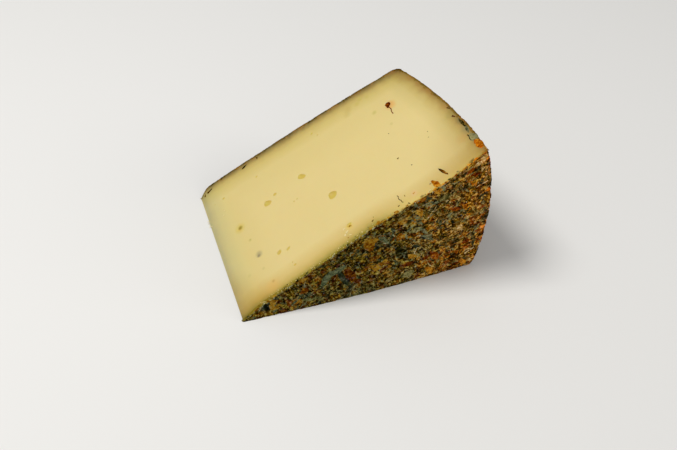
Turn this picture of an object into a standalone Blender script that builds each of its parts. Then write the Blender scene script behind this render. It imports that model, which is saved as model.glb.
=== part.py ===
"""A wedge of mild semi-hard cheese, cut from a wheel whose rind is crusted with dried
herbs and flower petals. It lies on its lower cut face, with the point of the wedge
towards -X, the rim towards +X and one crusted flat face of the wheel towards -Y.

The wheel's own outline, as a cut shows it, is swept through the wedge's angle about the
wheel's axis. Lengths are metres and angles are radians, apart from those named as
millimetres or degrees.
"""

import math
import random
from collections import namedtuple

import bmesh
import bpy
from mathutils import Matrix, Vector, noise
from mathutils.bvhtree import BVHTree

MM = 0.001

# The wedge, as cut from the wheel.
WHEEL_HEIGHT = 96.2 * MM  # at the wheel's axis, which is the wedge's point
LOWER_CUT = 124.0 * MM  # from the point to the rim, along the cut face that it lies on
UPPER_CUT = 144.6 * MM  # the same along the cut face on top
WEDGE_ANGLE = math.radians(35.0)
RIM_BULGE = 5.2 * MM  # how far the rim stands out from the chord between the two cuts
POINT_SKEW = 0.013  # how far the point leans out for each metre from front to back

# The wheel's own shape, seen in a cut.
FRONT_TAPER = 0.0373  # how far the front flat face falls back for each metre from the axis
BACK_TAPER = 0.111
FACE_SWELL = 1.5 * MM  # how far both flat faces swell halfway to the rim
DRAWN_IN = 1.5 * MM  # how far the upper cut's front edge is drawn in, at most
DRAWN_IN_AT = 20 * MM  # how far from the point that is
DRAWN_OUT = 5.2 * MM  # how far the knife drew that edge out near the rim
DRAWN_OUT_FROM = 73 * MM  # where that begins, and where it is full
DRAWN_OUT_TO = 126 * MM
RIM_FALL = 18.8 * MM  # how far the rim draws in over the wheel's height, to the back
RIM_FALL_POWER = 1.88
FRONT_SHOULDER = 1.2 * MM  # radii where a flat face turns into the rim
BACK_SHOULDER = 4.0 * MM
FRONT_CORNER = 1.5 * MM  # radii of the cut faces' corners at the point
BACK_CORNER = 8.5 * MM

# The rind's own relief, which is noise with a finer noise over it.
RELIEF_HEIGHT = 0.5 * MM
RELIEF_SIZE = 5.0 * MM
FINE_HEIGHT_SHARE = 0.5
FINE_SIZE_SHARE = 0.43
FINE_SHIFT = Vector((9.1, 3.7, 5.2))
POINT_FADE = 12 * MM  # the relief dies away over this distance from the point

# How finely the rind is divided.
ANGLE_STEPS = 17
FACE_STEPS = 25
SHOULDER_STEPS = 3
RIM_STEPS = 16
CORNER_STEPS = 3

# Eyes in the upper cut face, in millimetres and degrees.
Eye = namedtuple("Eye", "from_point from_front length width turn")
EYES = (
    Eye(68.9, 34.7, 5.2, 4.4, 20),
    Eye(58.2, 58.5, 5.2, 3.4, 10),
    Eye(35.7, 57.0, 4.8, 3.6, 30),
    Eye(16.1, 54.8, 2.8, 2.4, 60),
    Eye(32.0, 23.8, 3.8, 2.8, 35),
    Eye(36.2, 23.2, 3.2, 1.6, 20),
    Eye(69.8, 12.0, 3.8, 2.6, 15),
)
EYE_DEPTH_SHARE = 0.3  # of the eye's width

# The herb and flower pieces that are large enough to see from a step away.
Herb = namedtuple("Herb", "name count shortest longest slim thickness sides")
HERBS = (
    Herb("petal", 58, 4.5 * MM, 8.5 * MM, 0.46, 1.5 * MM, 7),
    Herb("leaf", 54, 5.0 * MM, 9.0 * MM, 0.26, 1.5 * MM, 6),
    Herb("stalk", 26, 7.0 * MM, 11.0 * MM, 0.12, 1.6 * MM, 4),
    Herb("bud", 30, 2.6 * MM, 4.0 * MM, 0.80, 2.4 * MM, 6),
)
HERB_SEED = 7
HERB_TRIES = 200
WIDTH_SPREAD = 0.2  # how far a piece's width may be off its kind's
PETAL_FLARE = 0.35  # how much wider a petal is at its far end, and narrower at the near one
SUNK_SHARE = 0.52  # of a piece's thickness that lies in the rind
HERB_SPACING = 0.6  # pieces' middles keep this share of their mean length apart
HERB_FEET = 0.33  # a piece rests on the rind this share of its length from its middle
FEET_DROP = 2.5 * MM  # no foot is further than this from the rind without its relief
CLEAR_OF_CUTS = 1.2 * MM  # pieces stay this far inside both cut faces

PASTE_COLOUR = (0.74, 0.62, 0.27, 1.0)
CRUST_COLOUR = (0.16, 0.10, 0.035, 1.0)


def clear_scene():
    for item in list(bpy.data.objects):
        bpy.data.objects.remove(item)


def material(name, colour, roughness):
    made = bpy.data.materials.new(name)
    made.use_nodes = True
    shader = made.node_tree.nodes["Principled BSDF"]
    shader.inputs["Base Color"].default_value = colour
    shader.inputs["Roughness"].default_value = roughness
    shader.inputs["Metallic"].default_value = 0.0
    return made


def spaced(start, end, steps):
    """Even stations from start up to, and without, end."""
    return [start + (end - start) * i / steps for i in range(steps)]


def corner_fall(distance, radius):
    """How far a rounded corner falls back at a distance from its end."""
    left = max(radius - distance, 0.0)
    return radius - math.sqrt(radius**2 - left**2)


def swell(r, reach):
    return FACE_SWELL * math.sin(math.pi * min(r / reach, 1.0))


def drawn(r):
    """How far the front flat face is drawn in at the upper cut, or out if negative."""
    inward = DRAWN_IN * r / DRAWN_IN_AT * math.exp(1 - r / DRAWN_IN_AT)
    share = (r - DRAWN_OUT_FROM) / (DRAWN_OUT_TO - DRAWN_OUT_FROM)
    share = min(max(share, 0.0), 1.0)
    return inward - DRAWN_OUT * share**2 * (3 - 2 * share)


def front_face(r, reach, height):
    """y of the front flat face at a distance r from the point. Height is 0 at the lower
    cut and 1 at the upper one."""
    straight = FRONT_TAPER * r - swell(r, reach) + corner_fall(r, FRONT_CORNER)
    return straight + drawn(r) * height


def back_face(r, reach):
    return WHEEL_HEIGHT - BACK_TAPER * r + swell(r, reach) - corner_fall(r, BACK_CORNER)


def rim(y, reach):
    """Distance of the rim from the point at a height y along the wheel's axis."""
    return reach - RIM_FALL * (max(y, 0.0) / WHEEL_HEIGHT) ** RIM_FALL_POWER


def reach_at(angle):
    """Distance of the rim from the point, at an angle up from the lower cut face: where
    the ray at that angle meets the arc between the ends of both cuts."""
    low = Vector((LOWER_CUT, 0.0))
    high = UPPER_CUT * Vector((math.cos(WEDGE_ANGLE), math.sin(WEDGE_ANGLE)))
    chord = high - low
    out = Vector((chord.y, -chord.x)).normalized()
    near, far = 0.0, 1.0
    while far - near > 1e-9:
        share = (near + far) / 2
        meeting = low + chord * share + out * (4 * share * (1 - share) * RIM_BULGE)
        if math.atan2(meeting.y, meeting.x) < angle:
            near = share
        else:
            far = share
    return meeting.length


def face_stations(corner, end):
    """Distances from the point along a flat face, closer together at its corner."""
    rounded = [corner * (i / CORNER_STEPS) ** 2 for i in range(CORNER_STEPS)]
    return rounded + spaced(corner, end, FACE_STEPS)


def wheel_outline(angle):
    """The wheel's outline at one angle as (distance from the point, y): from the point
    along the front flat face, over the rim and back along the back flat face."""
    reach, height = reach_at(angle), angle / WEDGE_ANGLE
    front_end = reach - FRONT_SHOULDER
    front_y = front_face(front_end, reach, height)
    shoulder_y = back_face(reach - RIM_FALL, reach) - BACK_SHOULDER
    back_end = rim(shoulder_y, reach) - BACK_SHOULDER
    turns = spaced(0.0, math.pi / 2, SHOULDER_STEPS)

    front_stations = face_stations(FRONT_CORNER, front_end)
    points = [(r, front_face(r, reach, height)) for r in front_stations]
    for turn in turns:
        out, up = math.sin(turn), 1 - math.cos(turn)
        points.append((front_end + FRONT_SHOULDER * out, front_y + FRONT_SHOULDER * up))
    for y in spaced(front_y + FRONT_SHOULDER, shoulder_y, RIM_STEPS):
        points.append((rim(y, reach), y))
    for turn in turns:
        out, up = math.cos(turn), math.sin(turn)
        points.append((back_end + BACK_SHOULDER * out, shoulder_y + BACK_SHOULDER * up))
    back_stations = [*face_stations(BACK_CORNER, back_end), back_end]
    points += [(r, back_face(r, reach)) for r in reversed(back_stations)]
    return points


def outward(outline, i):
    """The outline's outward direction at point i, as (along r, along y)."""
    before = outline[max(i - 1, 0)]
    after = outline[min(i + 1, len(outline) - 1)]
    return Vector((after[1] - before[1], before[0] - after[0])).normalized()


def place_at(r, y, angle):
    return Vector((r * math.cos(angle) - POINT_SKEW * y, y, r * math.sin(angle)))


def relief(place):
    """Height of the rind's crags at a place on it."""
    coarse = noise.noise(place / RELIEF_SIZE)
    fine = noise.noise(place / (RELIEF_SIZE * FINE_SIZE_SHARE) + FINE_SHIFT)
    return RELIEF_HEIGHT * (coarse + FINE_HEIGHT_SHARE * fine)


def rind_point(outline, i, angle):
    """Point i of the outline at that angle, raised or sunk by the rind's relief."""
    r, y = outline[i]
    way = outward(outline, i)
    height = relief(place_at(r, y, angle)) * min(r / POINT_FADE, 1.0)
    return place_at(r + way.x * height, y + way.y * height, angle)


def wedge_body():
    """The wheel's outline swept from the lower to the upper cut, closed by both cuts.
    All rows share the two ends of the wedge's point."""
    mesh = bmesh.new()
    first = wheel_outline(0.0)
    front_end, back_end = (mesh.verts.new(place_at(*first[k], 0.0)) for k in (0, -1))
    rows = []
    for angle in [*spaced(0.0, WEDGE_ANGLE, ANGLE_STEPS), WEDGE_ANGLE]:
        outline = wheel_outline(angle)
        inner = range(1, len(outline) - 1)
        between = [mesh.verts.new(rind_point(outline, i, angle)) for i in inner]
        rows.append([front_end, *between, back_end])
    for low, high in zip(rows, rows[1:]):
        for i in range(len(low) - 1):
            corners = (low[i], low[i + 1], high[i + 1], high[i])
            mesh.faces.new(dict.fromkeys(corners))
    mesh.faces.new(rows[0])
    mesh.faces.new(rows[-1])
    bmesh.ops.recalc_face_normals(mesh, faces=mesh.faces)
    bmesh.ops.triangulate(mesh, faces=mesh.faces)
    return mesh


def as_object(mesh, name, collection):
    data = bpy.data.meshes.new(name)
    mesh.to_mesh(data)
    mesh.free()
    made = bpy.data.objects.new(name, data)
    collection.objects.link(made)
    return made


def eye_hollow(eye):
    """A flattened ball on the upper cut face, and its place."""
    mesh = bmesh.new()
    bmesh.ops.create_icosphere(mesh, subdivisions=2, radius=0.5)
    depth = 2 * EYE_DEPTH_SHARE * eye.width
    size = Vector((eye.length, eye.width, depth)) * MM
    bmesh.ops.scale(mesh, vec=size, verts=mesh.verts)
    along = Vector((math.cos(WEDGE_ANGLE), 0.0, math.sin(WEDGE_ANGLE)))
    back = Vector((-POINT_SKEW, 1.0, 0.0))
    out = along.cross(back).normalized()
    tilt = Matrix((along, out.cross(along), out)).transposed().to_4x4()
    middle = Matrix.Translation((along * eye.from_point + back * eye.from_front) * MM)
    turn = Matrix.Rotation(math.radians(eye.turn), 4, "Z")
    return mesh, middle @ tilt @ turn


def herb_piece(herb, length, width):
    """A closed flake, long along X and flat on XY: a narrower underside, a rim that
    stands over it and a low crown."""
    mesh = bmesh.new()
    rings = []
    for level, spread in ((-0.5, 0.8), (0.35, 1.0)):
        ring = []
        for turn in spaced(0.0, 2 * math.pi, herb.sides):
            flare = 1 - PETAL_FLARE * math.cos(turn) if herb.name == "petal" else 1.0
            x = length / 2 * spread * math.cos(turn)
            y = width / 2 * spread * math.sin(turn) * flare
            ring.append(mesh.verts.new((x, y, herb.thickness * level)))
        rings.append(ring)
    under, edge = rings
    crown = mesh.verts.new((0.0, 0.0, herb.thickness / 2))
    mesh.faces.new(under)
    for i in range(herb.sides):
        k = (i + 1) % herb.sides
        mesh.faces.new((under[i], under[k], edge[k], edge[i]))
        mesh.faces.new((edge[i], edge[k], crown))
    bmesh.ops.recalc_face_normals(mesh, faces=mesh.faces)
    bmesh.ops.triangulate(mesh, faces=mesh.faces)
    return mesh


def rind_spot(along, share):
    """A place on the rind: along is a share of the outline's length, and share runs from
    the lower cut (0) to the upper one (1). Gives the place, its distance from the point
    as a share of the reach, its way to the nearer cut, and its outward frame."""
    angle = WEDGE_ANGLE * share
    outline = wheel_outline(angle)
    left = along * sum(math.dist(a, b) for a, b in zip(outline, outline[1:]))
    i = 0
    while left > math.dist(outline[i], outline[i + 1]) and i < len(outline) - 2:
        left -= math.dist(outline[i], outline[i + 1])
        i += 1
    r, y = outline[i]
    way = outward(outline, i)
    normal = Vector((way.x * math.cos(angle), way.y, way.x * math.sin(angle)))
    upward = Vector((-math.sin(angle), 0.0, math.cos(angle)))
    side = upward.cross(normal)
    frame = Matrix((side, upward, normal)).transposed()
    to_cut = r * min(angle, WEDGE_ANGLE - angle)
    return place_at(r, y, angle), r / reach_at(angle), to_cut, frame


def laid_on_rind(rind, middle, frame, turn, length):
    """The frame of a piece that rests on the rind near both its ends, or None where it
    would hang over an edge."""
    normal = frame.col[2]
    along = frame @ Vector((math.cos(turn), math.sin(turn), 0.0))
    feet = []
    for end in (-HERB_FEET, HERB_FEET):
        start = middle + along * length * end + normal * FEET_DROP
        foot = rind.ray_cast(start, -normal, 2 * FEET_DROP)[0]
        if foot is None:
            return None
        feet.append(foot)
    along = (feet[1] - feet[0]).normalized()
    across = normal.cross(along).normalized()
    turned = Matrix((along, across, along.cross(across))).transposed().to_4x4()
    return Matrix.Translation((feet[0] + feet[1]) / 2) @ turned


def herb_places(rind):
    """Each herb piece's kind, length, width and place, the longest laid first. A place
    is taken more often the wider the wedge is there, so that the rind is covered
    evenly, and is left where the piece would cross a cut or crowd its neighbours."""
    chance = random.Random(HERB_SEED)
    wanted = []
    for herb in HERBS:
        for _ in range(herb.count):
            length = chance.uniform(herb.shortest, herb.longest)
            width = length * herb.slim * chance.uniform(1 - WIDTH_SPREAD, 1 + WIDTH_SPREAD)
            wanted.append((length, width, herb))
    wanted.sort(key=lambda piece: piece[0], reverse=True)
    laid = []
    for length, width, herb in wanted:
        for _ in range(HERB_TRIES):
            turn = chance.uniform(0.0, math.pi)
            keep = chance.random()
            middle, wide, to_cut, frame = rind_spot(chance.random(), chance.random())
            halfway_up = (abs(math.sin(turn)) * length + width) / 2
            if keep > wide or to_cut < halfway_up + CLEAR_OF_CUTS:
                continue
            if any(math.dist(middle, m) < HERB_SPACING * (length + n) / 2 for m, n in laid):
                continue
            place = laid_on_rind(rind, middle, frame, turn, length)
            if place is None:
                continue
            laid.append((middle, length))
            lift = Vector((0.0, 0.0, herb.thickness * (0.5 - SUNK_SHARE)))
            yield herb, length, width, place @ Matrix.Translation(lift)
            break


def combine(body, pieces, operation):
    """Cuts or joins a collection of (name, mesh, place) with the body, and removes it."""
    collection = bpy.data.collections.new(operation.lower())
    bpy.context.scene.collection.children.link(collection)
    for name, mesh, place in pieces:
        as_object(mesh, name, collection).matrix_world = place
    change = body.modifiers.new(operation.lower(), "BOOLEAN")
    change.operation = operation
    change.operand_type = "COLLECTION"
    change.collection = collection
    change.solver = "MANIFOLD"  # the exact solver leaves open edges in this rind
    evaluated = body.evaluated_get(bpy.context.evaluated_depsgraph_get())
    body.data = bpy.data.meshes.new_from_object(evaluated)
    body.modifiers.clear()
    for item in list(collection.objects):
        bpy.data.objects.remove(item)
    bpy.data.collections.remove(collection)


def settle(body):
    """Moves the mesh so that the origin is at the middle of its box's underside."""
    low = Vector(min(v.co[k] for v in body.data.vertices) for k in range(3))
    high = Vector(max(v.co[k] for v in body.data.vertices) for k in range(3))
    middle = (low + high) / 2
    body.data.transform(Matrix.Translation((-middle.x, -middle.y, -low.z)))


def paint(body):
    """The paste shows on both cut faces, and the crust everywhere else."""
    body.data.materials.clear()
    body.data.materials.append(material("paste", PASTE_COLOUR, 0.45))
    body.data.materials.append(material("herb crust", CRUST_COLOUR, 0.85))
    upper = Vector((-math.sin(WEDGE_ANGLE), 0.0, math.cos(WEDGE_ANGLE)))
    for face in body.data.polygons:
        on_cut = face.normal.dot(upper) > 0.98 or face.normal.z < -0.98
        face.material_index = 0 if on_cut else 1


def main():
    clear_scene()
    body = as_object(wedge_body(), "cheese_wedge", bpy.context.scene.collection)
    combine(body, [("eye", *eye_hollow(eye)) for eye in EYES], "DIFFERENCE")
    rind = BVHTree.FromObject(body, bpy.context.evaluated_depsgraph_get())
    herbs = [
        (herb.name, herb_piece(herb, length, width), place)
        for herb, length, width, place in herb_places(rind)
    ]
    combine(body, herbs, "UNION")
    settle(body)
    paint(body)


main()
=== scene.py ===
"""Dresses a wedge of herb-crusted cheese, as it was cut from its wheel.

The wheel's half section is spun about the wheel's axis, and both cuts are made through
it as a knife would. What lies within the rind is the paste, and what lies outside it is
the crust. Thousands of dried crumbs, leaves, petals and stalks are pressed into the
crust, and the same cuts go through them.
"""

import math
from collections import namedtuple

import bmesh
import bpy
import numpy as np
from bpy.props import FloatProperty, FloatVectorProperty, IntProperty, PointerProperty
from mathutils import Matrix, Vector


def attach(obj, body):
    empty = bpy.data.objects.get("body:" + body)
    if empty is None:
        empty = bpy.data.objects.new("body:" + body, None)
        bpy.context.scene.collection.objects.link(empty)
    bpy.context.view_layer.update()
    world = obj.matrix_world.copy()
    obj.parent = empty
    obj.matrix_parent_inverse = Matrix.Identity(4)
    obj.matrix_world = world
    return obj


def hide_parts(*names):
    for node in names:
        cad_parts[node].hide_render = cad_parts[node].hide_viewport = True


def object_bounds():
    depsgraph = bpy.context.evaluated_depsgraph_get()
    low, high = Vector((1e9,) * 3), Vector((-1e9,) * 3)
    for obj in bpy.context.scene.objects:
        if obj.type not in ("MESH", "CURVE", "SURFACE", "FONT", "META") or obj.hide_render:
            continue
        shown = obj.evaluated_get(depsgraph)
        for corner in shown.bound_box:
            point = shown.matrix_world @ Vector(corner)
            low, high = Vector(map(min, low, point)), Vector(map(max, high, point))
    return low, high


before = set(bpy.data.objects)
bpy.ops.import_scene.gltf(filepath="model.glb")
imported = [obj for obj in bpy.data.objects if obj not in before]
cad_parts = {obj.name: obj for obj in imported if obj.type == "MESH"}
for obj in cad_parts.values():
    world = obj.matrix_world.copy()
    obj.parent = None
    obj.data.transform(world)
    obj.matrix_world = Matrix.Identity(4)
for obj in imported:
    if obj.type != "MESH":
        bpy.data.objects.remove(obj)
CAD_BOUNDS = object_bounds()

bl_info = {
    "name": "Wildflower Cheese Wedge",
    "version": (1, 0, 0),
    "blender": (4, 5, 0),
    "location": "3D View > Sidebar > Cheese",
    "description": "Models a wedge of cheese with a crust of dried herbs and petals",
    "category": "Object",
}

MM = 0.001
NODE = "cheese_wedge"
BODY = "root"

# Where the front end of the wedge's point lies in the frame, which has its origin under
# the middle of the wedge.
POINT = Vector((-63.10, -47.21, 0.0)) * MM

# The part of the wheel that is spun, as angles about its axis. It holds the wedge and a
# little more on all sides.
SPIN_START = math.radians(-75)
SPIN_END = math.radians(25)

# Pieces pressed into the crust. Sizes are millimetres, and counts are for the crust of
# both flat faces and the rim. Tilt is in degrees, rise is how far a piece stands out of
# the crust at its least and most, and bend how far it curves down a millimetre from its
# middle. Patch is how far pieces of its kind lie in patches, and skin how much of them
# the moist rind covers.
Herb = namedtuple(
    "Herb", "name model material count length width thickness tilt rise bend patch skin"
)
HERBS = (
    Herb("herb_crumbs", "crumb", "crumb", 10000, (1.0, 3.4), (0.35, 0.75), (0.3, 0.6),
         8, (-0.05, 0.16), 0.0, 0.4, 0.5),
    Herb("herb_dust", "crumb", "pale crumb", 5000, (0.5, 1.5), (0.4, 0.8), (0.3, 0.6),
         10, (0.02, 0.20), 0.0, 0.5, 0.5),
    Herb("herb_leaves", "leaf", "leaf", 3000, (2.0, 5.4), (0.22, 0.42), (0.25, 0.4),
         4, (0.0, 0.18), 0.02, 0.9, 0.45),
    Herb("broad_leaves", "leaf", "grey petal", 260, (4.0, 9.5), (0.22, 0.38), (0.25, 0.4),
         2, (0.10, 0.24), 0.01, 1.0, 0.3),
    Herb("grey_petals", "petal", "grey petal", 420, (1.8, 4.8), (0.30, 0.55), (0.2, 0.3),
         4, (0.02, 0.18), 0.03, 1.0, 0.4),
    Herb("orange_petals", "petal", "orange petal", 800, (1.2, 4.2), (0.30, 0.55),
         (0.2, 0.3), 4, (0.0, 0.18), 0.03, 1.0, 0.4),
    Herb("broad_petals", "petal", "orange petal", 200, (3.5, 8.0), (0.35, 0.60),
         (0.2, 0.3), 2, (0.08, 0.22), 0.01, 1.0, 0.35),
    Herb("straw_stalks", "stalk", "straw", 1000, (1.5, 6.5), (0.04, 0.10), (0.15, 0.25),
         3, (0.05, 0.24), 0.004, 0.3, 0.2),
    Herb("dark_seeds", "crumb", "dark seed", 3000, (0.6, 2.6), (0.3, 0.7), (0.4, 0.7),
         10, (0.0, 0.22), 0.0, 0.6, 0.3),
)

# Pieces of note. The first two numbers are their tone, from 0 to 1, and how far they
# stand out. Then come their place in millimetres, length, width and turn in degrees. On
# the upper cut face a place is the way from the point and from the front.
Bit = namedtuple("Bit", "model material tone rise u v length width turn")
CUT_BITS = (
    Bit("petal", "orange petal", 0.20, 0.20, 115.4, 63.4, 3.4, 2.5, 70),
    Bit("stalk", "orange petal", 0.32, 0.15, 115.5, 59.0, 5.4, 0.6, -88),
    Bit("leaf", "crumb", 0.42, 0.15, 121.7, 5.4, 6.6, 1.4, -68),
    Bit("crumb", "crumb", 0.62, 0.18, 122.7, 3.4, 2.0, 1.1, -60),
    Bit("stalk", "crumb", 0.22, 0.12, 97.2, 8.2, 3.0, 0.5, -88),
    Bit("stalk", "crumb", 0.22, 0.12, 97.7, 5.4, 3.0, 0.5, -68),
    Bit("crumb", "orange petal", 0.75, 0.12, 104.8, 5.0, 1.8, 1.2, 20),
    Bit("crumb", "crumb", 0.30, 0.12, 100.5, 1.4, 2.2, 1.0, -60),
    Bit("crumb", "crumb", 0.45, 0.12, 95.6, 3.8, 1.6, 1.0, 10),
    Bit("crumb", "crumb", 0.75, 0.10, 100.4, 7.0, 1.7, 0.7, 80),
    Bit("crumb", "crumb", 0.44, 0.12, 81.2, 5.6, 1.9, 1.3, 20),
    Bit("crumb", "crumb", 0.60, 0.08, 82.3, 7.4, 1.1, 0.7, 60),
    Bit("crumb", "crumb", 0.50, 0.10, 106.5, 29.2, 1.7, 1.2, 20),
    Bit("crumb", "crumb", 0.28, 0.10, 110.7, 20.4, 1.1, 0.8, 0),
    Bit("crumb", "leaf", 0.60, 0.06, 108.7, 46.6, 1.2, 0.9, 0),
    Bit("crumb", "leaf", 0.60, 0.06, 125.5, 32.2, 1.1, 0.8, 0),
    Bit("crumb", "leaf", 0.55, 0.06, 124.4, 29.0, 1.0, 0.8, 40),
    Bit("petal", "orange petal", 0.62, 0.20, 115.7, 2.2, 5.6, 2.4, -70),
    Bit("crumb", "pale crumb", 0.80, 0.20, 114.0, 4.0, 2.4, 1.4, 10),
    Bit("petal", "grey petal", 0.95, 0.15, 142.0, 12.6, 5.4, 3.4, -75),
    Bit("stalk", "leaf", 0.15, 0.22, 140.3, 13.6, 4.0, 0.5, -88),
    Bit("petal", "orange petal", 0.60, 0.22, 142.6, 7.4, 5.6, 3.4, -78),
    Bit("crumb", "orange petal", 0.40, 0.20, 141.3, 9.6, 3.2, 1.6, -120),
    Bit("crumb", "orange petal", 0.10, 0.12, 139.7, 36.9, 3.6, 0.9, -60),
    Bit("crumb", "dark seed", 0.90, 0.15, 139.6, 30.5, 3.0, 1.6, -60),
    Bit("leaf", "leaf", 0.30, 0.10, 141.4, 23.7, 7.0, 1.6, -84),
    Bit("leaf", "grey petal", 0.50, 0.10, 141.6, 18.8, 5.0, 1.5, -95),
    Bit("crumb", "crumb", 0.45, 0.15, 39.8, 90.5, 1.2, 3.0, 10),
    Bit("leaf", "leaf", 0.45, 0.20, 31.1, 90.7, 3.4, 1.0, 15),
    Bit("crumb", "crumb", 0.35, 0.20, 7.0, 91.6, 5.0, 1.8, 15),
    Bit("crumb", "crumb", 0.40, 0.15, 3.7, 90.7, 2.6, 1.4, 60),
    Bit("crumb", "orange petal", 0.90, 0.15, 70.1, 11.1, 2.2, 1.5, -30),
    Bit("crumb", "orange petal", 0.95, 0.10, 66.8, 5.7, 1.3, 1.0, 0),
    Bit("crumb", "curd", 0.50, 0.30, 67.6, 9.1, 2.2, 1.6, 30),
    Bit("crumb", "curd", 0.80, 0.25, 66.0, 8.1, 1.6, 1.3, 70),
    Bit("crumb", "curd", 0.30, 0.25, 68.4, 6.3, 1.8, 1.2, -20),
    Bit("crumb", "curd", 0.70, 0.25, 66.7, 11.7, 1.5, 1.1, 10),
    Bit("crumb", "curd", 0.90, 0.20, 9.9, 69.6, 0.8, 0.7, 0),
    Bit("crumb", "curd", 0.90, 0.20, 11.4, 72.0, 0.8, 0.6, 0),
)

# On the front face a place is the way from the point and up.
FRONT_BITS = (
    Bit("petal", "orange petal", 0.80, 0.35, 63.2, 35.8, 6.4, 5.2, -17),
    Bit("petal", "orange petal", 0.55, 0.40, 63.8, 34.6, 7.4, 4.0, -70),
    Bit("petal", "orange petal", 0.98, 0.40, 66.8, 37.0, 3.6, 2.5, -30),
    Bit("leaf", "grey petal", 0.95, 0.45, 70.8, 36.8, 10.1, 2.9, -52),
    Bit("petal", "grey petal", 0.80, 0.35, 42.4, 16.4, 10.6, 3.4, 62),
    Bit("petal", "grey petal", 0.85, 0.40, 47.6, 20.8, 9.0, 3.1, 32),
    Bit("leaf", "grey petal", 0.30, 0.40, 51.5, 15.0, 12.3, 3.4, -66),
    Bit("petal", "orange petal", 0.25, 0.30, 54.8, 17.2, 9.0, 4.5, -63),
    Bit("leaf", "grey petal", 0.05, 0.40, 12.0, 7.0, 7.3, 3.1, -53),
    Bit("leaf", "grey petal", 0.12, 0.45, 12.2, 6.6, 5.6, 2.5, 41),
    Bit("leaf", "leaf", 0.05, 0.40, 12.8, 6.0, 5.0, 2.5, 80),
    Bit("petal", "orange petal", 0.60, 0.30, 26.8, 6.0, 5.3, 2.9, 7),
    Bit("petal", "orange petal", 0.45, 0.30, 24.5, 5.6, 6.7, 2.9, -61),
    Bit("petal", "orange petal", 0.98, 0.30, 6.9, 2.6, 2.9, 1.8, 21),
    Bit("petal", "orange petal", 0.50, 0.30, 31.7, 12.2, 5.6, 3.1, 37),
    Bit("leaf", "leaf", 0.90, 0.30, 35.3, 5.5, 8.2, 2.7, -3),
    Bit("stalk", "straw", 0.85, 0.40, 94.1, 49.2, 10.5, 0.5, -111),
    Bit("stalk", "straw", 0.80, 0.40, 87.9, 34.4, 5.6, 0.6, -5),
    Bit("stalk", "straw", 0.70, 0.35, 96.8, 11.9, 8.6, 0.6, -58),
    Bit("stalk", "straw", 0.90, 0.40, 62.2, 14.0, 5.9, 0.7, -50),
    Bit("stalk", "straw", 1.00, 0.45, 120.2, 12.5, 6.0, 0.8, 39),
    Bit("petal", "dark seed", 0.10, 0.40, 111.4, 11.6, 4.9, 3.6, 18),
    Bit("petal", "orange petal", 0.20, 0.35, 115.6, 20.4, 6.0, 2.2, 25),
    Bit("petal", "orange petal", 0.22, 0.35, 105.9, 48.7, 5.8, 2.5, -16),
    Bit("leaf", "grey petal", 0.80, 0.35, 111.8, 46.5, 4.9, 1.8, 11),
    Bit("petal", "orange petal", 0.30, 0.35, 110.4, 71.8, 4.3, 2.2, 41),
    Bit("petal", "orange petal", 0.95, 0.30, 94.6, 64.9, 7.2, 3.1, -38),
    Bit("crumb", "dark seed", 0.20, 0.35, 100.2, 63.7, 2.8, 2.0, 8),
    Bit("crumb", "dark seed", 0.30, 0.35, 94.6, 57.3, 2.9, 2.0, 37),
    Bit("crumb", "dark seed", 0.20, 0.35, 109.8, 61.4, 3.1, 1.8, 50),
    Bit("crumb", "orange petal", 0.02, 0.35, 106.6, 67.5, 2.9, 1.7, 32),
    Bit("petal", "leaf", 0.75, 0.30, 99.2, 58.2, 6.3, 3.6, 25),
    Bit("petal", "leaf", 0.95, 0.35, 87.2, 38.5, 6.3, 3.4, 13),
    Bit("petal", "leaf", 0.15, 0.30, 81.0, 24.3, 10.1, 4.7, -58),
    Bit("petal", "grey petal", 0.60, 0.38, 81.9, 23.4, 4.5, 2.5, 15),
    Bit("petal", "leaf", 0.95, 0.35, 85.6, 6.4, 7.1, 3.8, 17),
    Bit("petal", "orange petal", 0.12, 0.32, 85.1, 14.2, 7.3, 2.7, 1),
    Bit("petal", "orange petal", 0.30, 0.30, 99.5, 16.9, 7.8, 3.4, -60),
    Bit("petal", "pale crumb", 0.70, 0.30, 110.8, 32.4, 5.4, 2.9, 44),
    Bit("leaf", "leaf", 0.20, 0.35, 112.2, 23.2, 7.6, 2.5, 14),
    Bit("leaf", "leaf", 0.50, 0.32, 103.6, 25.2, 8.6, 2.5, -2),
    Bit("petal", "straw", 0.60, 0.30, 121.0, 4.7, 5.2, 2.5, 30),
    Bit("leaf", "leaf", 0.45, 0.30, 71.2, 21.9, 6.6, 2.2, 28),
    Bit("petal", "orange petal", 0.25, 0.30, 59.2, 10.7, 5.9, 2.6, -4),
    Bit("petal", "pale crumb", 0.60, 0.30, 76.4, 5.5, 4.7, 2.5, 26),
    Bit("petal", "pale crumb", 0.75, 0.30, 116.4, 77.5, 5.2, 3.2, 60),
    Bit("petal", "pale crumb", 0.90, 0.32, 113.8, 75.4, 4.4, 2.2, 30),
    Bit("petal", "straw", 0.60, 0.30, 117.4, 72.5, 5.0, 2.0, 80),
)

# On the rim a place is the way up its curve and back from the front.
RIM_BITS = (
    Bit("petal", "orange petal", 0.75, 0.40, 45.5, 3.0, 8.0, 4.0, 3),
    Bit("petal", "dark seed", 0.40, 0.45, 50.0, 3.0, 4.0, 3.0, 20),
    Bit("leaf", "leaf", 0.05, 0.45, 62.5, 2.5, 8.8, 2.4, 5),
    Bit("leaf", "grey petal", 0.70, 0.50, 63.5, 3.6, 6.0, 1.6, -5),
)

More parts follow.
